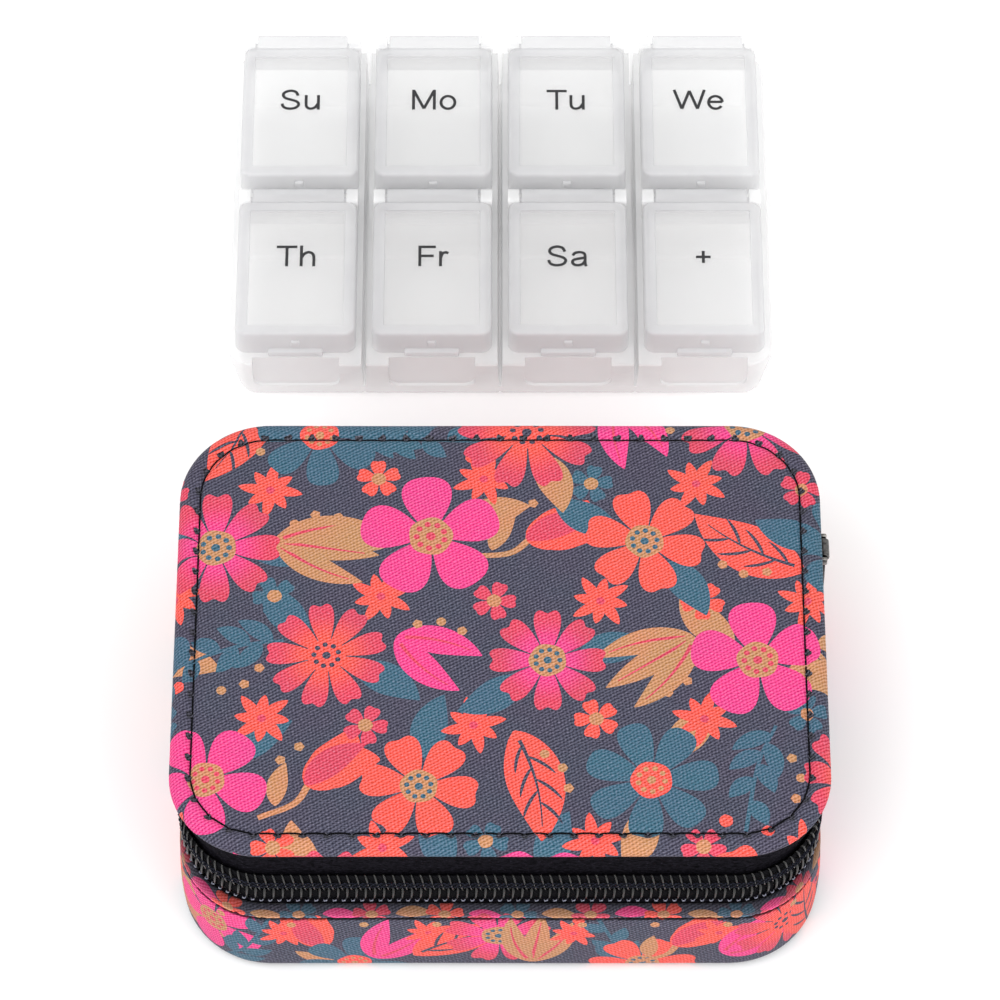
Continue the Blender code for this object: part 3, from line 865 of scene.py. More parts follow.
def moulded_plastic(name, low, high, solid, roughness, grain):
    """Milky see-through plastic with a fine grain and faint handling marks."""
    look = Finish(name, {"Alpha": solid, "Roughness": roughness, "Specular IOR Level": 0.4})
    place = look.local()
    cloud = look.noise(place, 0.08, 3.0)
    fine = look.noise(place, 5.0, 2.0, 0.6)
    marks = look.noise(look.vector("MULTIPLY", place, (0.25, 2.5, 1.0)), 1.5, 3.0, 0.7)
    colour = look.graded(cloud, 0.35, 0.65, low, high)
    rough = look.math("ADD", look.spread(marks, 0.55, 0.75, roughness - 0.03, roughness + 0.1),
                      look.math("MULTIPLY", fine, 0.06))
    look.feed(look.shader, {"Base Color": colour, "Roughness": rough})
    look.bump(look.math("ADD", fine, marks), grain, 0.5)
    return look.material


def label_ink():
    """Matt black ink, slightly uneven on the plastic."""
    look = Finish("label_ink", {"Roughness": 0.55})
    place = look.local()
    wear = look.noise(place, 3.0, 4.0, 0.7)
    colour = look.graded(wear, 0.35, 0.75, (22, 22, 24), (52, 52, 55))
    look.feed(look.shader, {"Base Color": colour, "Roughness": look.spread(wear, 0, 1, 0.45, 0.7)})
    look.bump(wear, 0.01, 0.4)
    return look.material


# ---- The print ----

# The kinds of open flower: dye, number of petals, notch, heart, seeds and fade.
BLOOMS = (("rose", 8, 0.12, "tan", "teal", "pink"), ("pink", 5, 0.0, "tan", "rose", None),
          ("coral", 6, 0.08, "tan", "teal", None), ("teal", 7, 0.0, "coral", "tan", None),
          ("rose", 9, 0.1, "coral", "ground", "coral"))
REPEAT = (40.0, 26.0)             # pitch of the flowers along and across the staggered rows
SHIFT = (7.0, -6.0)               # moves the rows off the middle of the sheet
GARLAND_PITCH = 13.2              # length of strip for each motif


def tuft(art, kind, middle, turn, size=1.0):
    """One of the small groups that fill the space between flowers."""
    reach = cmath.rect(size, turn)
    if kind == 0:
        art.veined_leaf(middle - 12 * reach, middle + 12 * reach, 5.4 * size, "coral", 0.14, "ground")
    elif kind == 1:
        for side in (-1, 0, 1):
            art.leaf(middle - 9 * reach, middle + 11 * reach * cmath.rect(1, 0.62 * side), 2.7 * size, "tan",
                     0.14 * side, "rose")
    elif kind == 2:
        line = [middle - 12 * reach, middle - 3 * reach * (1 + 0.4j), middle + 11 * reach]
        art.sprig(line, 6, 8.0 * size, 1.7 * size, "teal")
        for side in (-1, 1):
            art.disc(middle + reach * (10 + 4j * side), 1.3 * size, "coral")
    elif kind == 3:
        art.stem([middle - 13 * reach, middle - 6 * reach * (1 + 0.3j), middle - 1 * reach], 0.7, "tan")
        art.leaf(middle - 9 * reach, middle - 2 * reach * (1 - 3j), 1.9 * size, "tan", 0.12)
        art.tulip(middle - 2 * reach, middle + 12 * reach, 4.4 * size, "coral", "rose")
    else:
        for side in (-1, 1):
            art.leaf(middle - 8 * reach, middle + 9 * reach * cmath.rect(1, 0.5 * side), 3.0 * size, "pink",
                     0.16 * side, "rose")


def strewn_print(phase):
    """Open flowers in staggered rows, with leaves, tulips, sprigs and seeds between them."""
    art = Pattern()
    chance = random.Random(23 + phase)
    wide, high = REPEAT
    places = []
    for row in range(-2, 3):
        for column in range(-2, 3):
            along = (column + 0.5 * (row % 2)) * wide + chance.uniform(-2, 2) + SHIFT[0]
            across = row * high + chance.uniform(-2, 2) + SHIFT[1]
            places.append((complex(along, across), 2 * row + column + phase))
    for centre, kind in places:
        turn = chance.uniform(0, 2 * math.pi)
        for spread in (0.0, 2.7):
            behind = cmath.rect(1, turn + spread)
            art.leaf(centre + 6 * behind, centre + 20 * behind, 3.4, ("teal", "tan", "teal")[kind % 3], 0.15)
        tuft(art, (2 * kind + 1) % 5, centre + 0.5 * wide, turn)
        art.daisy(centre + complex(0.25 * wide, 0.5 * high), 5.6, "coral", turn)
        side = centre + complex(-0.25 * wide, 0.5 * high)
        art.small_flower(side, 4.4, ("rose", "coral", "teal")[kind % 3], turn, 5, "tan")
        for seed in range(3):
            art.disc(centre + 0.5 * wide + cmath.rect(7.5, turn + 1.3 + 0.6 * seed), 0.95, "tan", 0.1)
    for centre, kind in places:
        dye, petals, notch, heart, seeds, fade = BLOOMS[kind % len(BLOOMS)]
        art.flower(centre, chance.uniform(11.0, 14.0), petals, dye, 0.4 * kind, notch, heart, seeds, fade)
    return art.shapes


def garland(length, low, high, phase=0):
    """A run of flowers and tufts along a strip, about one for every 13 mm."""
    art = Pattern()
    middle = (low + high) / 2
    count = int(length / GARLAND_PITCH)
    for index in range(count):
        along = (index + 0.5 - count / 2) * length / count
        kind = index + phase
        tuft(art, kind % 5, complex(along, middle), 1.2 + 0.7 * math.sin(1.7 * index), 0.9)
        art.disc(complex(along - 5, high - 4), 0.9, "tan")
        dye = ("coral", "teal", "rose")[kind % 3]
        art.small_flower(complex(along - 3.5, high + 1.2), 3.8, dye, index, 5, "tan")
        art.leaf(complex(along + 1.0, high + 1.5), complex(along + 8.0, high - 0.5 + kind % 3), 1.5,
                 ("tan", "pink")[kind % 2], 0.12)
        if kind % 2:
            dye, petals, notch, heart, seeds, fade = BLOOMS[kind % len(BLOOMS)]
            place = complex(along + 6.5, low + (2.0 if kind % 4 == 1 else 13.0))
            art.flower(place, 10.5, petals, dye, 0.2 * index, notch, heart, seeds, fade)
        else:
            art.daisy(complex(along + 7, high - 7), 4.6, "coral", 0.5)
    return art.shapes


# ---- The case ----

def build_lid_cloth(canvas, dark_thread):
    """The lid's printed cover and the thread that runs round it."""
    section = [(0.0, TOP), (6.0, TOP - 0.02), (10.0, TOP - 0.1), (12.2, TOP - 0.3), (12.8, TOP - 0.62),
               (STITCH_OUT, TOP - 0.8), (13.25, TOP - 0.66), (13.8, TOP - 0.32), (14.7, TOP - 0.24),
               (15.8, TOP - 0.5), (16.6, TOP - 1.1), (17.0, TOP - 1.8), (16.88, TOP - 2.5), (16.3, TOP - 3.2),
               (15.4, TOP - 3.9), (14.5, TOP - 4.6), (13.6, UNDER + 0.1), (12.5, UNDER), (9.6, UNDER)]
    cover = StitchedLid(LID_CORE, section)
    stitch = cover.stitch_reach
    close = [stitch + offset for offset in (-1.6, -1.0, -0.6, -0.35, -0.15, 0.0, 0.15, 0.35, 0.6, 0.95, 1.4)]
    far = list(np.arange(stitch + 2.0, cover.profile.length - 1.2, 0.62)) + [cover.profile.length]
    outline, inner = cover.grid(1.5, close + far, 0.75)
    # The print, and a painted shadow at each needle hole.
    areas = strewn_print(0) + cover.painted_hole_shadows()
    item = cloth_piece("lid_cover_cloth", outline, inner, areas, cover.place, [canvas])
    finish_piece(item, "case_lid", "printed_fabric", "lid_cover")
    cover.size()

    threads = []
    for number in range(cover.stitches):
        shares = number + np.array([0.06, 0.12, 0.3, 0.5, 0.7, 0.88, 0.94])
        line = cover.place(cover.stitch_points(shares))
        base_z = line[3][2]
        lift = np.array([-0.45, -0.12, 0.08, 0.13, 0.08, -0.12, -0.45])
        line[:, 2] = base_z + lift
        threads.append(tube(smooth_line(line, 2), 0.17, 7))
    stitches = add_mesh("lid_stitching", gather(threads), [dark_thread], 0)
    finish_piece(stitches, "case_lid", "printed_fabric")
    return cover


def build_base_cloth(canvas):
    """The printed wall with its folded hem, and the panel it stands on."""
    section = [(13.2, 0.04), (14.6, 0.06), (15.9, 0.55), (16.8, 1.8), (17.1, 4.0), (17.28, 8.0), (17.3, 12.0),
               (17.16, 16.0), (17.0, 18.5), (16.8, 19.1), (16.0, 19.4), (16.0, 19.7), (16.9, 19.85),
               (17.0, 20.3), (16.9, 21.6), (16.5, 22.7), (15.95, FOLD_Z - 0.15), (15.6, FOLD_Z - 0.3),
               (15.5, FOLD_Z - 1.2), (15.48, 17.3)]
    wall = Band(BASE_CORE, section)
    crease = wall.profile.rise(19.6)
    close = crease + np.arange(-1.7, 2.1, 0.16)
    far = np.arange(close[-1] + 0.5, wall.profile.length - 0.4, 0.7)
    rows = np.concatenate((np.arange(0, close[0], 0.85), close, far, [wall.profile.length]))
    outline, inner = wall.grid(1.25, rows)
    # Painted shadow in the crease and just below it, a painted highlight on the lip above it, and painted
    # shade over the hem and the fold.
    shaded = crease + np.array([-1.5, -1.25, 0.8, 1.0, 1.4, 1.9, 4.5])
    item = cloth_piece("base_wall_cloth", outline, inner, garland(wall.around, 3.0, 24.0, 1), wall.place,
                       [canvas], (shaded, [1, 0.1, 0.1, 1.5, 1.35, 0.6, 0.25]))
    finish_piece(item, "case_base", "printed_fabric", "base_wall_cover")
    wall.size()

    floor = Dome(BASE_CORE, [(0.0, 0.03), (8.0, 0.03), (12.6, 0.05), (13.1, 0.5)], flip=True)
    outline, inner = floor.grid(2.2, [9.0, 11.5, 12.6, floor.profile.length], 1.6)
    item = cloth_piece("base_bottom_cloth", outline, inner, strewn_print(2), floor.place, [canvas])
    finish_piece(item, "case_base", "printed_fabric", "base_bottom_panel")
    floor.size()


def build_hinge_cloth(canvas):
    """The printed panel behind the lid."""
    low, high = corners("hinge_panel")
    section = Profile([(45.6, low[2]), (46.0, 22.6), (45.9, 25.0), (45.75, PARTING), (45.8, 32.0),
                       (45.9, 36.0), (45.5, high[2]), (43.0, high[2] + 0.05), (41.0, high[2])])

    def place(flat):
        out, up = section.at(flat[:, 1])
        return np.column_stack((-flat[:, 0], out + 0.1 + 0.05 * np.sin(0.3 * flat[:, 0]), up))

    outline, inner = strip_grid(np.linspace(-PANEL_HALF, PANEL_HALF, 46), np.linspace(0, section.length, 30))
    item = cloth_piece("hinge_cloth", outline, inner, garland(2 * PANEL_HALF, 5.0, 21.0, 4), place, [canvas])
    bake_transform(item)
    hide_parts("hinge_panel")


def build_linings(lining):
    """Nylon linings: a tray-shaped one in the base and a flat one in the lid."""
    rim = corners("base_lining")[1][2]
    tub = Dome(BASE_CORE, [(0.0, 3.1), (9.0, 3.05), (11.2, 3.05), (12.2, 3.5), (12.6, 5.0), (12.62, 12.0),
                           (12.6, rim - 0.6), (12.8, rim + 0.05), (13.4, rim + 0.3), (14.0, rim),
                           (14.2, rim - 0.8)])
    edge = tub.profile.length
    rings = list(np.arange(9.5, edge - 3.2, 1.3)) + list(np.arange(edge - 3.0, edge - 0.3, 0.45)) + [edge]
    outline, inner = tub.grid(2.4, rings, 1.8)
    item = cloth_piece("base_lining_cloth", outline, inner, [], tub.place, [lining])
    finish_piece(item, "case_base", "lining", "base_lining")
    tub.size()

    low = corners("lid_lining")[0][2]
    flat = Dome(LID_CORE, [(0.0, low - 0.1), (6.0, low - 0.12), (9.2, low - 0.16), (9.9, low - 0.1),
                           (10.2, low + 0.1)], flip=True)
    outline, inner = flat.grid(2.0, [7.5, 8.4, 9.0, 9.4, 9.8, flat.profile.length], 1.6)
    item = cloth_piece("lid_lining_cloth", outline, inner, [], flat.place, [lining])
    finish_piece(item, "case_lid", "lining", "lid_lining")
    flat.size()


def case_rings(core, section):
    """A closed ring round the case for each (out, height) of a section."""
    stops = np.linspace(0, round_length(core), 120, endpoint=False)
    return [[Vector((x, y, z)) for x, y in round_outline(core, out, stops)[0]] for out, z in section]


def build_stiffeners(foam_look, board_look):
    """What is sewn into the case: foam and board in the lid, foam and a shell in the base."""
    low, high = heights("lid_foam")
    section = [(13.4, low), (14.0, low + 0.4), (13.9, low + 1.2), (12.6, high - 0.65), (9.0, high - 0.3),
               (2.0, high)]
    item = add_mesh("lid_foam_pad", loft(case_rings(LID_CORE, section)), [foam_look])
    finish_piece(item, "case_lid", "padding", "lid_foam")

    low, high = heights("lid_board")
    section = [(13.7, low), (14.0, low + 0.2), (14.0, high - 0.2), (13.7, high)]
    item = add_mesh("lid_board_panel", loft(case_rings(LID_CORE, section)), [board_look])
    finish_piece(item, "case_lid", "board", "lid_board")

    low, high = heights("base_padding")
    section = [(16.0, low + 0.5), (16.2, 8.0), (16.0, high - 0.4), (15.4, high), (14.6, high - 0.5),
               (14.6, low + 0.4), (15.2, low)]
    item = add_mesh("base_padding_pad", loft(case_rings(BASE_CORE, section), closed=True), [foam_look])
    finish_piece(item, "case_base", "padding", "base_padding")

    low, high = heights("base_shell")
    section = [(13.7, low), (14.2, low + 0.25), (14.3, low + 0.7), (14.3, high - 0.3), (14.0, high),
               (13.3, high), (13.1, high - 0.3), (13.1, low + 2.0), (12.6, low + 1.3)]
    item = add_mesh("base_shell_board", loft(case_rings(BASE_CORE, section)), [board_look])
    finish_piece(item, "case_base", "board", "base_shell")


# ---- The zip ----

ZIP_STEPS = 230                   # sections along a tape or a filler


def zip_half_length(core):
    """Length of the zip from the middle of the front to one end."""
    return core[0] + core[1] * 2 + core[0] - ZIP_END + CORNER * math.pi


def zip_point(core, out, z, share):
    """Points on the zip's run; share goes from -1 to 1."""
    share = np.atleast_1d(share)
    points, _ = round_outline(core, out, share * zip_half_length(core))
    return np.column_stack((points, np.broadcast_to(z, len(points))))


def zip_strip(section, shares):
    """A solid strip along the zip, from the (core, out, height) points of its section."""
    columns = [zip_point(core, out, z, shares) for core, out, z in section]
    return loft([[Vector(column[index]) for column in columns] for index in range(len(shares))])


def build_tapes(tape):
    """The two woven tapes, one tucked behind the base's hem and one sewn under the lid."""
    low = PARTING - 0.4
    high = PARTING + 0.4
    shares = np.linspace(-1, 1, ZIP_STEPS)
    tuck = FOLD_Z - 0.7
    lower = [(BASE_CORE, 15.2, 16.4), (BASE_CORE, 15.2, tuck), (ZIP_CORE, 15.15, 25.0),
             (ZIP_CORE, 15.05, low), (ZIP_CORE, 14.4, low), (ZIP_CORE, 14.4, 25.0),
             (BASE_CORE, 14.6, tuck), (BASE_CORE, 14.6, 16.4)]
    seam = UNDER - 0.35
    upper = [(ZIP_CORE, out, z) for out, z in ((15.05, high), (15.08, 30.6), (15.15, 32.2), (15.1, 33.8))]
    upper += [(LID_CORE, out, z) for out, z in ((15.55, 35.2), (15.5, 36.4), (15.6, 37.2), (15.85, 37.9),
                                                (16.2, 38.5), (16.25, 38.8), (16.0, 38.85), (15.5, 38.2),
                                                (15.15, 37.5), (14.6, seam), (10.5, seam), (10.5, seam - 0.5),
                                                (14.4, seam - 0.6), (14.9, 35.0))]
    upper += [(ZIP_CORE, 14.5, 33.8), (ZIP_CORE, 14.5, 31.5), (ZIP_CORE, 14.4, high)]
    for name, body, section, node in (("zip_tape_lower_weave", "case_base", lower, "zip_tape_lower"),
                                      ("zip_tape_upper_weave", "case_lid", upper, "zip_tape_upper")):
        item = add_mesh(name, zip_strip(section, shares), [tape], 75)
        finish_piece(item, body, "zip_tape", node)


def coil_line(low, high, out, depth, lean, pitch, shift=0.0, steps=12):
    """The flattened helix of one half of the zip."""
    half = zip_half_length(ZIP_CORE)
    turns = int(2 * half / pitch) - 1
    turn = np.arange(turns * steps + 1) * 2 * math.pi / steps
    along = -half + pitch * (0.5 + shift + turn / (2 * math.pi)) + lean * np.cos(turn)
    z = (low + high) / 2 + (high - low) / 2 * np.cos(turn)
    points, _ = round_outline(ZIP_CORE, out + depth * np.sin(turn), along)
    return np.column_stack((points, z))


def build_zip(coil, dark_thread, blue_thread, pale_thread):
    """Both halves of the coil, the cord sewn in along them, and the stitches under the chain."""
    pitch = 1.7
    out = 16.05
    upper = tube(coil_line(PARTING - 1.2, PARTING + 4.3, out, 0.5, -0.14, pitch), 0.22)
    item = add_mesh("zip_coil_upper_loops", upper, [coil], 0)
    finish_piece(item, "case_lid", "zip_coil", "zip_coil_upper")
    lower = tube(coil_line(PARTING - 4.3, PARTING - 0.4, out, 0.5, pitch / 4, pitch, 0.66), 0.28)
    item = add_mesh("zip_coil_lower_loops", lower, [coil], 0)
    finish_piece(item, "case_base", "zip_coil", "zip_coil_lower")

    half = zip_half_length(ZIP_CORE)
    for name, body, low, high in (("zip_filler_upper", "case_lid", PARTING - 0.5, PARTING + 3.9),
                                  ("zip_filler_lower", "case_base", PARTING - 4.0, PARTING - 1.2)):
        middle = (low + high) / 2
        shape = ((-0.12, low), (0.06, low + 0.1), (0.14, middle), (0.06, high - 0.1), (-0.12, high),
                 (-0.16, middle))
        strip = zip_strip([(ZIP_CORE, out + across, z) for across, z in shape],
                          np.linspace(-0.995, 0.995, ZIP_STEPS))
        finish_piece(add_mesh(name, strip, [dark_thread], 75), body, "zip_coil")
    sewing = []
    along = np.arange(-half + 1.5, half - 1.5, 0.28)
    for strand in range(3):
        turn = 2 * math.pi * along / 3.4 + 2 * math.pi * strand / 3
        points, _ = round_outline(ZIP_CORE, out + 0.62 + 0.12 * np.cos(turn), along)
        line = np.column_stack((points, PARTING + 1.5 + 0.75 * np.sin(turn)))
        sewing.append(tube(line, 0.13, 5))
    item = add_mesh("zip_cord", gather(sewing), [blue_thread], 0)
    finish_piece(item, "case_lid", "zip_coil")

    ticks = []
    for number in range(int(2 * half / pitch) - 1):
        start = -half + pitch * (number + 1.0)
        stops = start + np.array([-0.32, -0.2, 0.2, 0.36])
        points, _ = round_outline(ZIP_CORE, out + np.array([0.2, 0.55, 0.55, 0.2]), stops)
        line = np.column_stack((points, PARTING - 4.5 + np.array([-0.05, 0.0, 0.12, 0.1])))
        ticks.append(tube(line, 0.13, 5))
    item = add_mesh("zip_stitching", gather(ticks), [pale_thread], 0)
    finish_piece(item, "case_base", "zip_coil")


def build_slider(metal):
    """The slider, with its two plates, post, lugs and bar, and the pull on it."""
    low, high = corners("zip_slider")
    pivot = joint_at("zip_pull_swing")
    middle_y = (low[1] + high[1]) / 2
    half_y = (high[1] - low[1]) / 2
    half_z = PARTING - low[2]
    face = ZIP_CORE[0] + CORNER

    def outline(long, tall):
        """A shield: wide where the halves come together, narrower at the nose."""
        points = [(-long, tall * 0.55), (-long * 0.75, tall * 0.8), (0.2 * long, tall),
                  (0.8 * long, tall * 0.97), (long, tall * 0.72)]
        line = points + [(y, -z) for y, z in reversed(points)]
        return [(middle_y + y, PARTING + z) for y, z in line]

    front = plate(outline(half_y, half_z), face, face + 0.8, 0.22)
    back = plate(outline(half_y - 0.6, half_z - 0.5), low[0], low[0] + 0.8, 0.2)
    post = block((low[0] + 0.4, middle_y + 2.0, PARTING), (face + 0.4, middle_y + 3.6, PARTING + 0.5), 0.08)
    bar = turned([(middle_y - 2.8, 0.35), (middle_y + 2.8, 0.35)], "Y", (pivot[0], 0.0, PARTING))
    lugs = []
    for side in (-1, 1):
        lug_low = (face + 0.4, middle_y + side * 2.7 - 0.4, PARTING - 0.95)
        lug_high = (pivot[0] + 0.6, middle_y + side * 2.7 + 0.4, PARTING + 0.95)
        lugs.append(block(lug_low, lug_high, 0.3))
    body = carved(front, [(gather([back, post, bar, *lugs]), "UNION")])
    finish_piece(add_mesh("zip_slider_body", body, [metal]), "zip_slider", "zip_metal", "zip_slider")

    drop = corners("zip_pull")[0][2]
    outline = [(1.45, PARTING - 0.8), (1.45, PARTING - 2.6), (1.9, PARTING - 4.2), (2.4, PARTING - 6.5)]
    curve = [math.radians(180 * step / 12) for step in range(13)]
    outline += [(2.4 * math.cos(turn), drop + 2.4 - 2.4 * math.sin(turn)) for turn in curve]
    outline += [(-y, z) for y, z in reversed(outline[:4])]
    tab = plate([(middle_y + y, z) for y, z in outline], pivot[0] - 0.4, pivot[0] + 0.4, 0.14)
    stations = [(-1.9, 1.0), (-1.75, 1.05), (1.75, 1.05), (1.9, 1.0)]
    eye = turned([(middle_y + y, radius) for y, radius in stations], "Y", (pivot[0], 0.0, PARTING))
    hole = turned([(middle_y - 2.5, 0.65), (middle_y + 2.5, 0.65)], "Y", (pivot[0], 0.0, PARTING))
    panel = [(1.5 * math.cos(turn), drop + 2.5 - 1.6 * math.sin(turn)) for turn in curve]
    panel += [(-1.1, PARTING - 7.0), (1.1, PARTING - 7.0)]
    hollows = [loft([[Vector((x, middle_y + y, z)) for y, z in panel] for x in pair])
               for pair in ((pivot[0] - 0.6, pivot[0] - 0.27), (pivot[0] + 0.27, pivot[0] + 0.6))]
    pull = carved(tab, [(eye, "UNION"), (gather([hole, *hollows]), "DIFFERENCE")])
    finish_piece(add_mesh("zip_pull_tab", pull, [metal]), "zip_pull", "zip_metal", "zip_pull")


# ---- The tray ----

TRAY_LOW, TRAY_HIGH = corners("tray_body")
TRAY_Y = (TRAY_LOW[1] + TRAY_HIGH[1]) / 2
TRAY_HALF = (TRAY_HIGH - TRAY_LOW) / 2
RIM_Z = 13.2
DAYS = ("sunday", "monday", "tuesday", "wednesday", "thursday", "friday", "saturday", "extra")
AXES = {day: joint_at(f"{day}_lid_hinge") for day in DAYS}
COLUMN_X = sorted({round(float(axis[0]), 4) for axis in AXES.values()})
ROW_Y = sorted({round(float(axis[1]), 4) for axis in AXES.values()}, reverse=True)
AXIS_Z = AXES["sunday"][2]


def build_tray_body(plastic):
    """One thin moulding: cells, hinge ears, thumb recesses and the slots between columns."""
    sides = [(2.6, 0.0), (2.3, 0.25), (1.75, 1.4), (0.35, 8.8), (0.1, 9.8), (0.0, 10.4), (0.0, RIM_Z - 0.3),
             (0.3, RIM_Z)]
    tub = loft([plan_ring(TRAY_HALF[0] - inset, TRAY_HALF[1] - inset, 5.5 - inset, z, (0.0, TRAY_Y))
                for inset, z in sides])
    ears, cuts = [], []
    for x in COLUMN_X:
        for y in ROW_Y:
            for side in (-1, 1):
                ear = [(y - 1.4, RIM_Z - 1.0), (y + 1.9, RIM_Z - 1.0)]
                ear += [(y + across, AXIS_Z + up) for across, up in band_outline(2.3)[1:-1]]
                reach = sorted((x + side * 9.7, x + side * 12.1))
                ears.append(plate(ear, reach[0], reach[1], 0.3))
                hole = [(x + side * 9.2, 1.05), (x + side * 12.6, 1.05)]
                cuts.append(turned(hole, "X", (0.0, y, AXIS_Z), 18))
            ears.append(block((x - 10.0, y - 1.2, RIM_Z - 1.0), (x + 10.0, y + 1.2, RIM_Z + 1.9), 0.4))
            centre = (x, y - 18.3)
            cell = ((1.3, 1.4), (0.6, 1.55), (0.15, 2.1), (0.0, 2.9), (0.0, RIM_Z - 0.4),
                    (-0.35, RIM_Z + 0.3), (-0.35, RIM_Z + 1.0))
            cuts.append(loft([plan_ring(11.2 - inset, 15.7 - inset, 2.0 - inset * 0.6, z, centre, 5)
                              for inset, z in cell]))
        cuts.append(recess(x, TRAY_LOW[1] - 1.0, TRAY_LOW[1] + 1.9, 4.2))
        cuts.append(recess(x, TRAY_Y + 0.2, TRAY_Y + 2.2, 6.0))
        cuts.append(block((x - 10.5, TRAY_Y - 3.4, -1.0), (x + 10.5, TRAY_Y - 0.9, 11.0), 0.5))
    ends = (TRAY_LOW[1] - 1.0, TRAY_HIGH[1] + 1.0)
    for left, right in zip(COLUMN_X, COLUMN_X[1:]):
        x = (left + right) / 2
        slot = ((-0.2, 4.0), (0.2, 4.0), (0.5, RIM_Z + 0.1), (0.5, RIM_Z + 1.0), (-0.5, RIM_Z + 1.0),
                (-0.5, RIM_Z + 0.1))
        cuts.append(along_y(slot, x, *ends))
        notch = ((1.1, -0.5), (-1.1, -0.5), (0.0, 1.3))
        cuts.append(along_y(notch, x, *ends))
    body = carved(tub, [(gather(ears), "UNION"), (gather(cuts), "DIFFERENCE")])
    finish_piece(add_mesh("tray_moulding", body, [plastic], 30), "pill_tray", "tray_plastic", "tray_body")


def band_outline(back):
    """The hinge band's section about its axis: flat on top, rounded at the front and the back."""
    points = [(0.4, -1.5)]
    for middle_y, start, radius in ((back - 1.0, -30, 1.0), (-0.9, 90, 0.6)):
        for step in range(6):
            turn = math.radians(start + (120 if start < 0 else 90) * step / 5)
            points.append((middle_y + radius * math.cos(turn), 1.5 - radius + radius * math.sin(turn)))
    points.append((-1.5, -0.6))
    points.append((-0.9, -1.3))
    return points


def along_y(outline, x, low, high):
    """A solid with one section in the X-Z plane, between two Y."""
    return loft([[Vector((x + across, y, z)) for across, z in outline] for y in (low, high)])


def recess(x, y_low, y_high, floor_z):
    """A thumb recess with rounded lower corners, open at the rim."""
    half, bend = 8.7, 2.4
    outline = [(half, RIM_Z + 1.0)]
    for side, start in ((1, 0), (-1, 90)):
        for step in range(7):
            turn = math.radians(start + 90.0 * step / 6)
            outline.append((side * (half - bend) + bend * math.cos(turn),
                            floor_z + bend - bend * math.sin(turn)))
    outline.append((-half, RIM_Z + 1.0))
    return along_y(outline, x, y_low, y_high)


def lid_mesh():
    """One tray lid about its hinge axis: cap with a window, barrel, pins, web, tab and nub."""
    axis = AXES["sunday"]
    front = -35.1
    half = 12.1
    middle = (0.0, (front - 1.8) / 2)
    deep = (-1.8 - front) / 2
    top = corners("tray_lid_sunday")[1][2] - axis[2]
    bottom = RIM_Z + 0.3 - axis[2]
    section = [(2.3, top - 1.1), (1.4, top - 1.6), (1.1, top - 2.5), (1.1, bottom), (0.3, bottom),
               (0.0, bottom + 0.3), (0.1, top - 1.0), (0.16, top - 0.45), (0.3, top - 0.2), (0.6, top - 0.05),
               (0.95, top), (2.2, top), (2.4, top - 0.05), (2.55, top - 0.3)]
    cap = loft([plan_ring(half - inset, deep - inset, 2.2 - min(inset, 1.9), z, middle)
                for inset, z in section])
    pins = turned([(-11.6, 0.5), (-11.4, 0.7), (11.4, 0.7), (11.6, 0.5)], "X")
    barrel = plate(band_outline(2.3), -9.3, 9.3, 0.2)
    web = block((-9.0, -2.4, -0.6), (9.0, -0.4, 1.2), 0.15)
    tab = block((-5.5, front - 1.0, bottom + 0.2), (5.5, front + 0.5, bottom + 1.7), 0.35)
    nub = block((-0.9, front - 0.45, bottom + 3.0), (0.9, front + 0.4, bottom + 4.4), 0.3)
    shape = carved(cap, [(barrel, "UNION"), (pins, "UNION"), (web, "UNION"), (tab, "UNION"), (nub, "UNION")])
    for face in shape.faces:
        centre = face.calc_center_median()
        inside = abs(centre.x) < half - 2.45 and abs(centre.y - middle[1]) < deep - 2.45
        if inside and abs(face.normal.z) > 0.9 and centre.z > top - 1.3:
            face.material_index = 1
    return shape, top - 0.3


def bowl(middle, start, end):
    """Part of the round of a small letter, between two angles."""
    turns = [math.radians(start + (end - start) * step / 24) for step in range(25)]
    return [(middle + 0.28 * math.cos(turn), 0.362 + 0.32 * math.sin(turn)) for turn in turns]


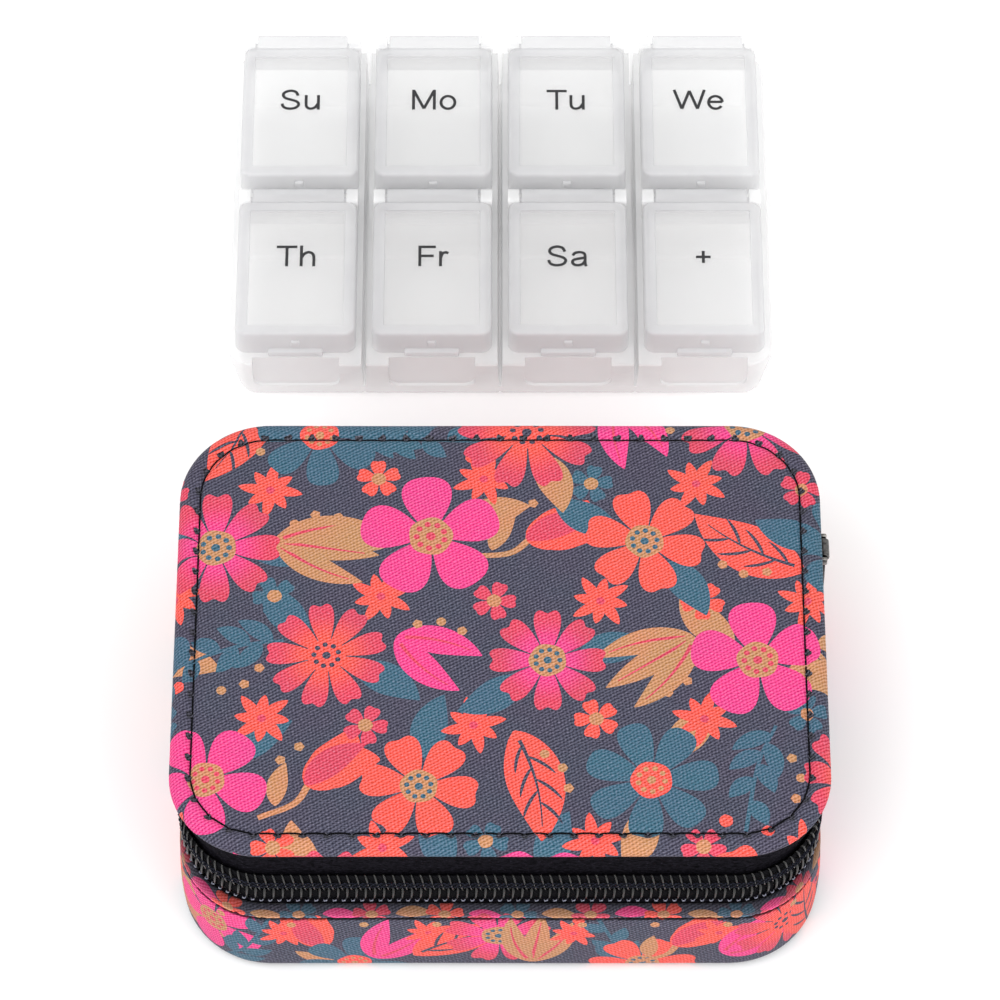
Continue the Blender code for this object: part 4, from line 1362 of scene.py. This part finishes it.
# Letters as pen strokes, with a capital one unit high: (advance, strokes).
LETTERS = {
    "S": (0.93, [[(0.1, 0.3), (0.15, 0.15), (0.27, 0.07), (0.45, 0.045), (0.66, 0.1), (0.77, 0.25),
                  (0.7, 0.4), (0.46, 0.5), (0.24, 0.58), (0.14, 0.72), (0.2, 0.87), (0.43, 0.955),
                  (0.65, 0.89), (0.74, 0.71)]]),
    "T": (0.87, [[(0.03, 0.94), (0.84, 0.94)], [(0.435, 0.9), (0.435, 0.0)]]),
    "M": (1.16, [[(0.16, 0.0), (0.16, 1.0)], [(0.17, 0.97), (0.58, 0.05)], [(0.58, 0.05), (0.99, 0.97)],
                 [(1.0, 1.0), (1.0, 0.0)]]),
    "W": (1.32, [[(0.05, 1.0), (0.345, 0.04)], [(0.345, 0.04), (0.66, 0.95)], [(0.66, 0.95), (0.975, 0.04)],
                 [(0.975, 0.04), (1.27, 1.0)]]),
    "F": (0.85, [[(0.17, 0.0), (0.17, 1.0)], [(0.2, 0.94), (0.8, 0.94)], [(0.2, 0.5), (0.72, 0.5)]]),
    "+": (0.78, [[(0.39, 0.16), (0.39, 0.74)], [(0.1, 0.45), (0.68, 0.45)]]),
    "u": (0.78, [[(0.14, 0.73), (0.14, 0.3), (0.18, 0.12), (0.32, 0.045), (0.5, 0.11), (0.62, 0.3)],
                 [(0.635, 0.73), (0.635, 0.0)]]),
    "h": (0.78, [[(0.14, 0.0), (0.14, 1.0)],
                 [(0.16, 0.44), (0.26, 0.6), (0.42, 0.68), (0.58, 0.61), (0.635, 0.42), (0.635, 0.0)]]),
    "r": (0.47, [[(0.14, 0.0), (0.14, 0.73)], [(0.15, 0.42), (0.21, 0.6), (0.32, 0.67), (0.45, 0.64)]]),
    "o": (0.78, [bowl(0.39, 0, 190), bowl(0.39, 180, 370)]),
    "e": (0.78, [[(0.12, 0.39), (0.67, 0.39)], bowl(0.39, 5, 190), bowl(0.39, 180, 325)]),
    "a": (0.78, [[(0.13, 0.52), (0.21, 0.64), (0.4, 0.68), (0.56, 0.63), (0.61, 0.5), (0.61, 0.14),
                  (0.66, 0.0)],
                 [(0.6, 0.41), (0.38, 0.37), (0.17, 0.31), (0.11, 0.19), (0.18, 0.08), (0.33, 0.045),
                  (0.5, 0.1), (0.6, 0.24)]]),
}
CAPITAL = 5.1                     # height of a capital
PEN = 0.3                         # half width of a stroke
INK = 0.05                        # thickness of the print
LABEL_Y = -18.0                   # foot of a label, from its lid's axis


def lettering(name, text, ink):
    """A word as thin raised ink, centred on its own length."""
    length = sum(LETTERS[letter][0] for letter in text) * CAPITAL
    art = Pattern()
    start = -length / 2
    for letter in text:
        advance, strokes = LETTERS[letter]
        for stroke in strokes:
            line = [(start + x * CAPITAL, y * CAPITAL) for x, y in stroke]
            line = smooth_line(line, 5) if 2 < len(line) < 20 else line
            art.ribbon([tuple(point) for point in line], [PEN] * len(line), "ground")
        start += advance * CAPITAL
    half = length / 2 + 1
    points = [-half - 2j, half - 2j, half + (CAPITAL + 2) * 1j, -half + (CAPITAL + 2) * 1j]
    flat, triangles = cut_flat(points, [polygon for polygon, _, _ in art.shapes])
    mesh = bmesh.new()
    verts = [mesh.verts.new((x, y, 0.0)) for x, y in flat]
    for face, owner in triangles:
        if owner > 0:
            mesh.faces.new([verts[index] for index in face])
    bmesh.ops.delete(mesh, geom=[vert for vert in verts if not vert.link_faces], context="VERTS")
    raised = bmesh.ops.extrude_face_region(mesh, geom=mesh.faces[:])
    top = [item for item in raised["geom"] if isinstance(item, bmesh.types.BMVert)]
    bmesh.ops.translate(mesh, vec=(0.0, 0.0, INK), verts=top)
    bmesh.ops.recalc_face_normals(mesh, faces=mesh.faces)
    return add_mesh(name, mesh, [ink], 30)


def day_label(day):
    """Two letters for a day of the week, and a plus for the spare cell."""
    return "+" if day == "extra" else day[:2].capitalize()


def build_tray_lids(frosted, clear, ink):
    """Eight lids on one mesh, each with its label on the window."""
    shape, window_z = lid_mesh()
    shared = add_mesh("lid_pattern", shape, [frosted, clear], 35)
    for day in DAYS:
        axis = AXES[day]
        lid = add_object(f"tray_lid_{day}_cap", shared.data)
        lid.location = Vector(axis) * MM
        finish_piece(lid, f"tray_lid_{day}", "lid_plastic", f"tray_lid_{day}")
        label = lettering(f"label_{day}", day_label(day), ink)
        label.location = (Vector(axis) + Vector((0.0, LABEL_Y, window_z + 0.01))) * MM
        finish_piece(label, f"tray_lid_{day}", "lid_plastic")
    bpy.data.objects.remove(shared)


# ---- Floor, light and camera ----

TARGET = Vector((0.0, 43.8, 20.0)) * MM
CAMERA_ELEVATION = 56.8           # degrees above the floor
CAMERA_DISTANCE = 1.0             # metres
CAMERA_LENS = 184.2
LAMP_SIZE = 0.9
DAYLIGHT = 0.88                   # strength of the light from all round


def build_stage():
    """A pale floor that runs out of sight, soft light from all round, and the camera."""
    mesh = bmesh.new()
    bmesh.ops.create_grid(mesh, x_segments=1, y_segments=1, size=4000.0)
    look = Finish("studio_floor", {"Base Color": (0.95, 0.95, 0.95, 1.0), "Roughness": 0.9})
    floor = add_mesh("studio_floor", mesh, [look.material])
    floor.location = (0.0, 0.0, -0.0004)

    world = bpy.data.worlds.new("studio")
    world.use_nodes = True
    world.node_tree.nodes["Background"].inputs["Color"].default_value = (1.0, 1.0, 1.0, 1.0)
    world.node_tree.nodes["Background"].inputs["Strength"].default_value = DAYLIGHT
    bpy.context.scene.world = world
    for name, spot, power in (("key_light", (-0.45, -0.5, 1.0), 7.0), ("fill_light", (0.6, -0.6, 0.8), 4.5)):
        data = bpy.data.lights.new(name, "AREA")
        data.size = LAMP_SIZE
        data.energy = power
        lamp = add_object(name, data)
        lamp.location = spot
        lamp.rotation_euler = (TARGET - Vector(spot)).to_track_quat("-Z", "Y").to_euler()

    data = bpy.data.cameras.new("camera")
    data.sensor_width = 36.0
    data.lens = CAMERA_LENS
    camera = add_object("camera", data)
    elevation = math.radians(CAMERA_ELEVATION)
    away = Vector((0.0, -math.cos(elevation), math.sin(elevation)))
    camera.location = TARGET + away * CAMERA_DISTANCE
    camera.rotation_euler = (TARGET - camera.location).to_track_quat("-Z", "Y").to_euler()
    bpy.context.scene.camera = camera
    bpy.context.scene.view_settings.view_transform = "Standard"


def main():
    build_stage()
    canvas = printed_canvas()
    lining = lining_cloth()
    dark_thread = thread("dark_thread", (3, 3, 4), (24, 23, 28))
    blue_thread = thread("cord_thread", (8, 9, 13), (50, 52, 68))
    pale_thread = thread("pale_thread", (96, 98, 114), (188, 188, 202))
    build_lid_cloth(canvas, dark_thread)
    build_base_cloth(canvas)
    build_hinge_cloth(canvas)
    build_linings(lining)
    build_stiffeners(foam(), board())
    build_tapes(tape_cloth())
    build_zip(coil_nylon(), dark_thread, blue_thread, pale_thread)
    build_slider(zip_metal())
    build_tray_body(moulded_plastic("frosted_body", (250, 250, 251), (253, 253, 253), 0.4, 0.38, 0.02))
    frosted = moulded_plastic("frosted_lid", (219, 219, 221), (228, 228, 229), 0.42, 0.3, 0.015)
    clear = moulded_plastic("clear_window", (252, 252, 252), (254, 254, 254), 0.24, 0.14, 0.008)
    build_tray_lids(frosted, clear, label_ink())


main()
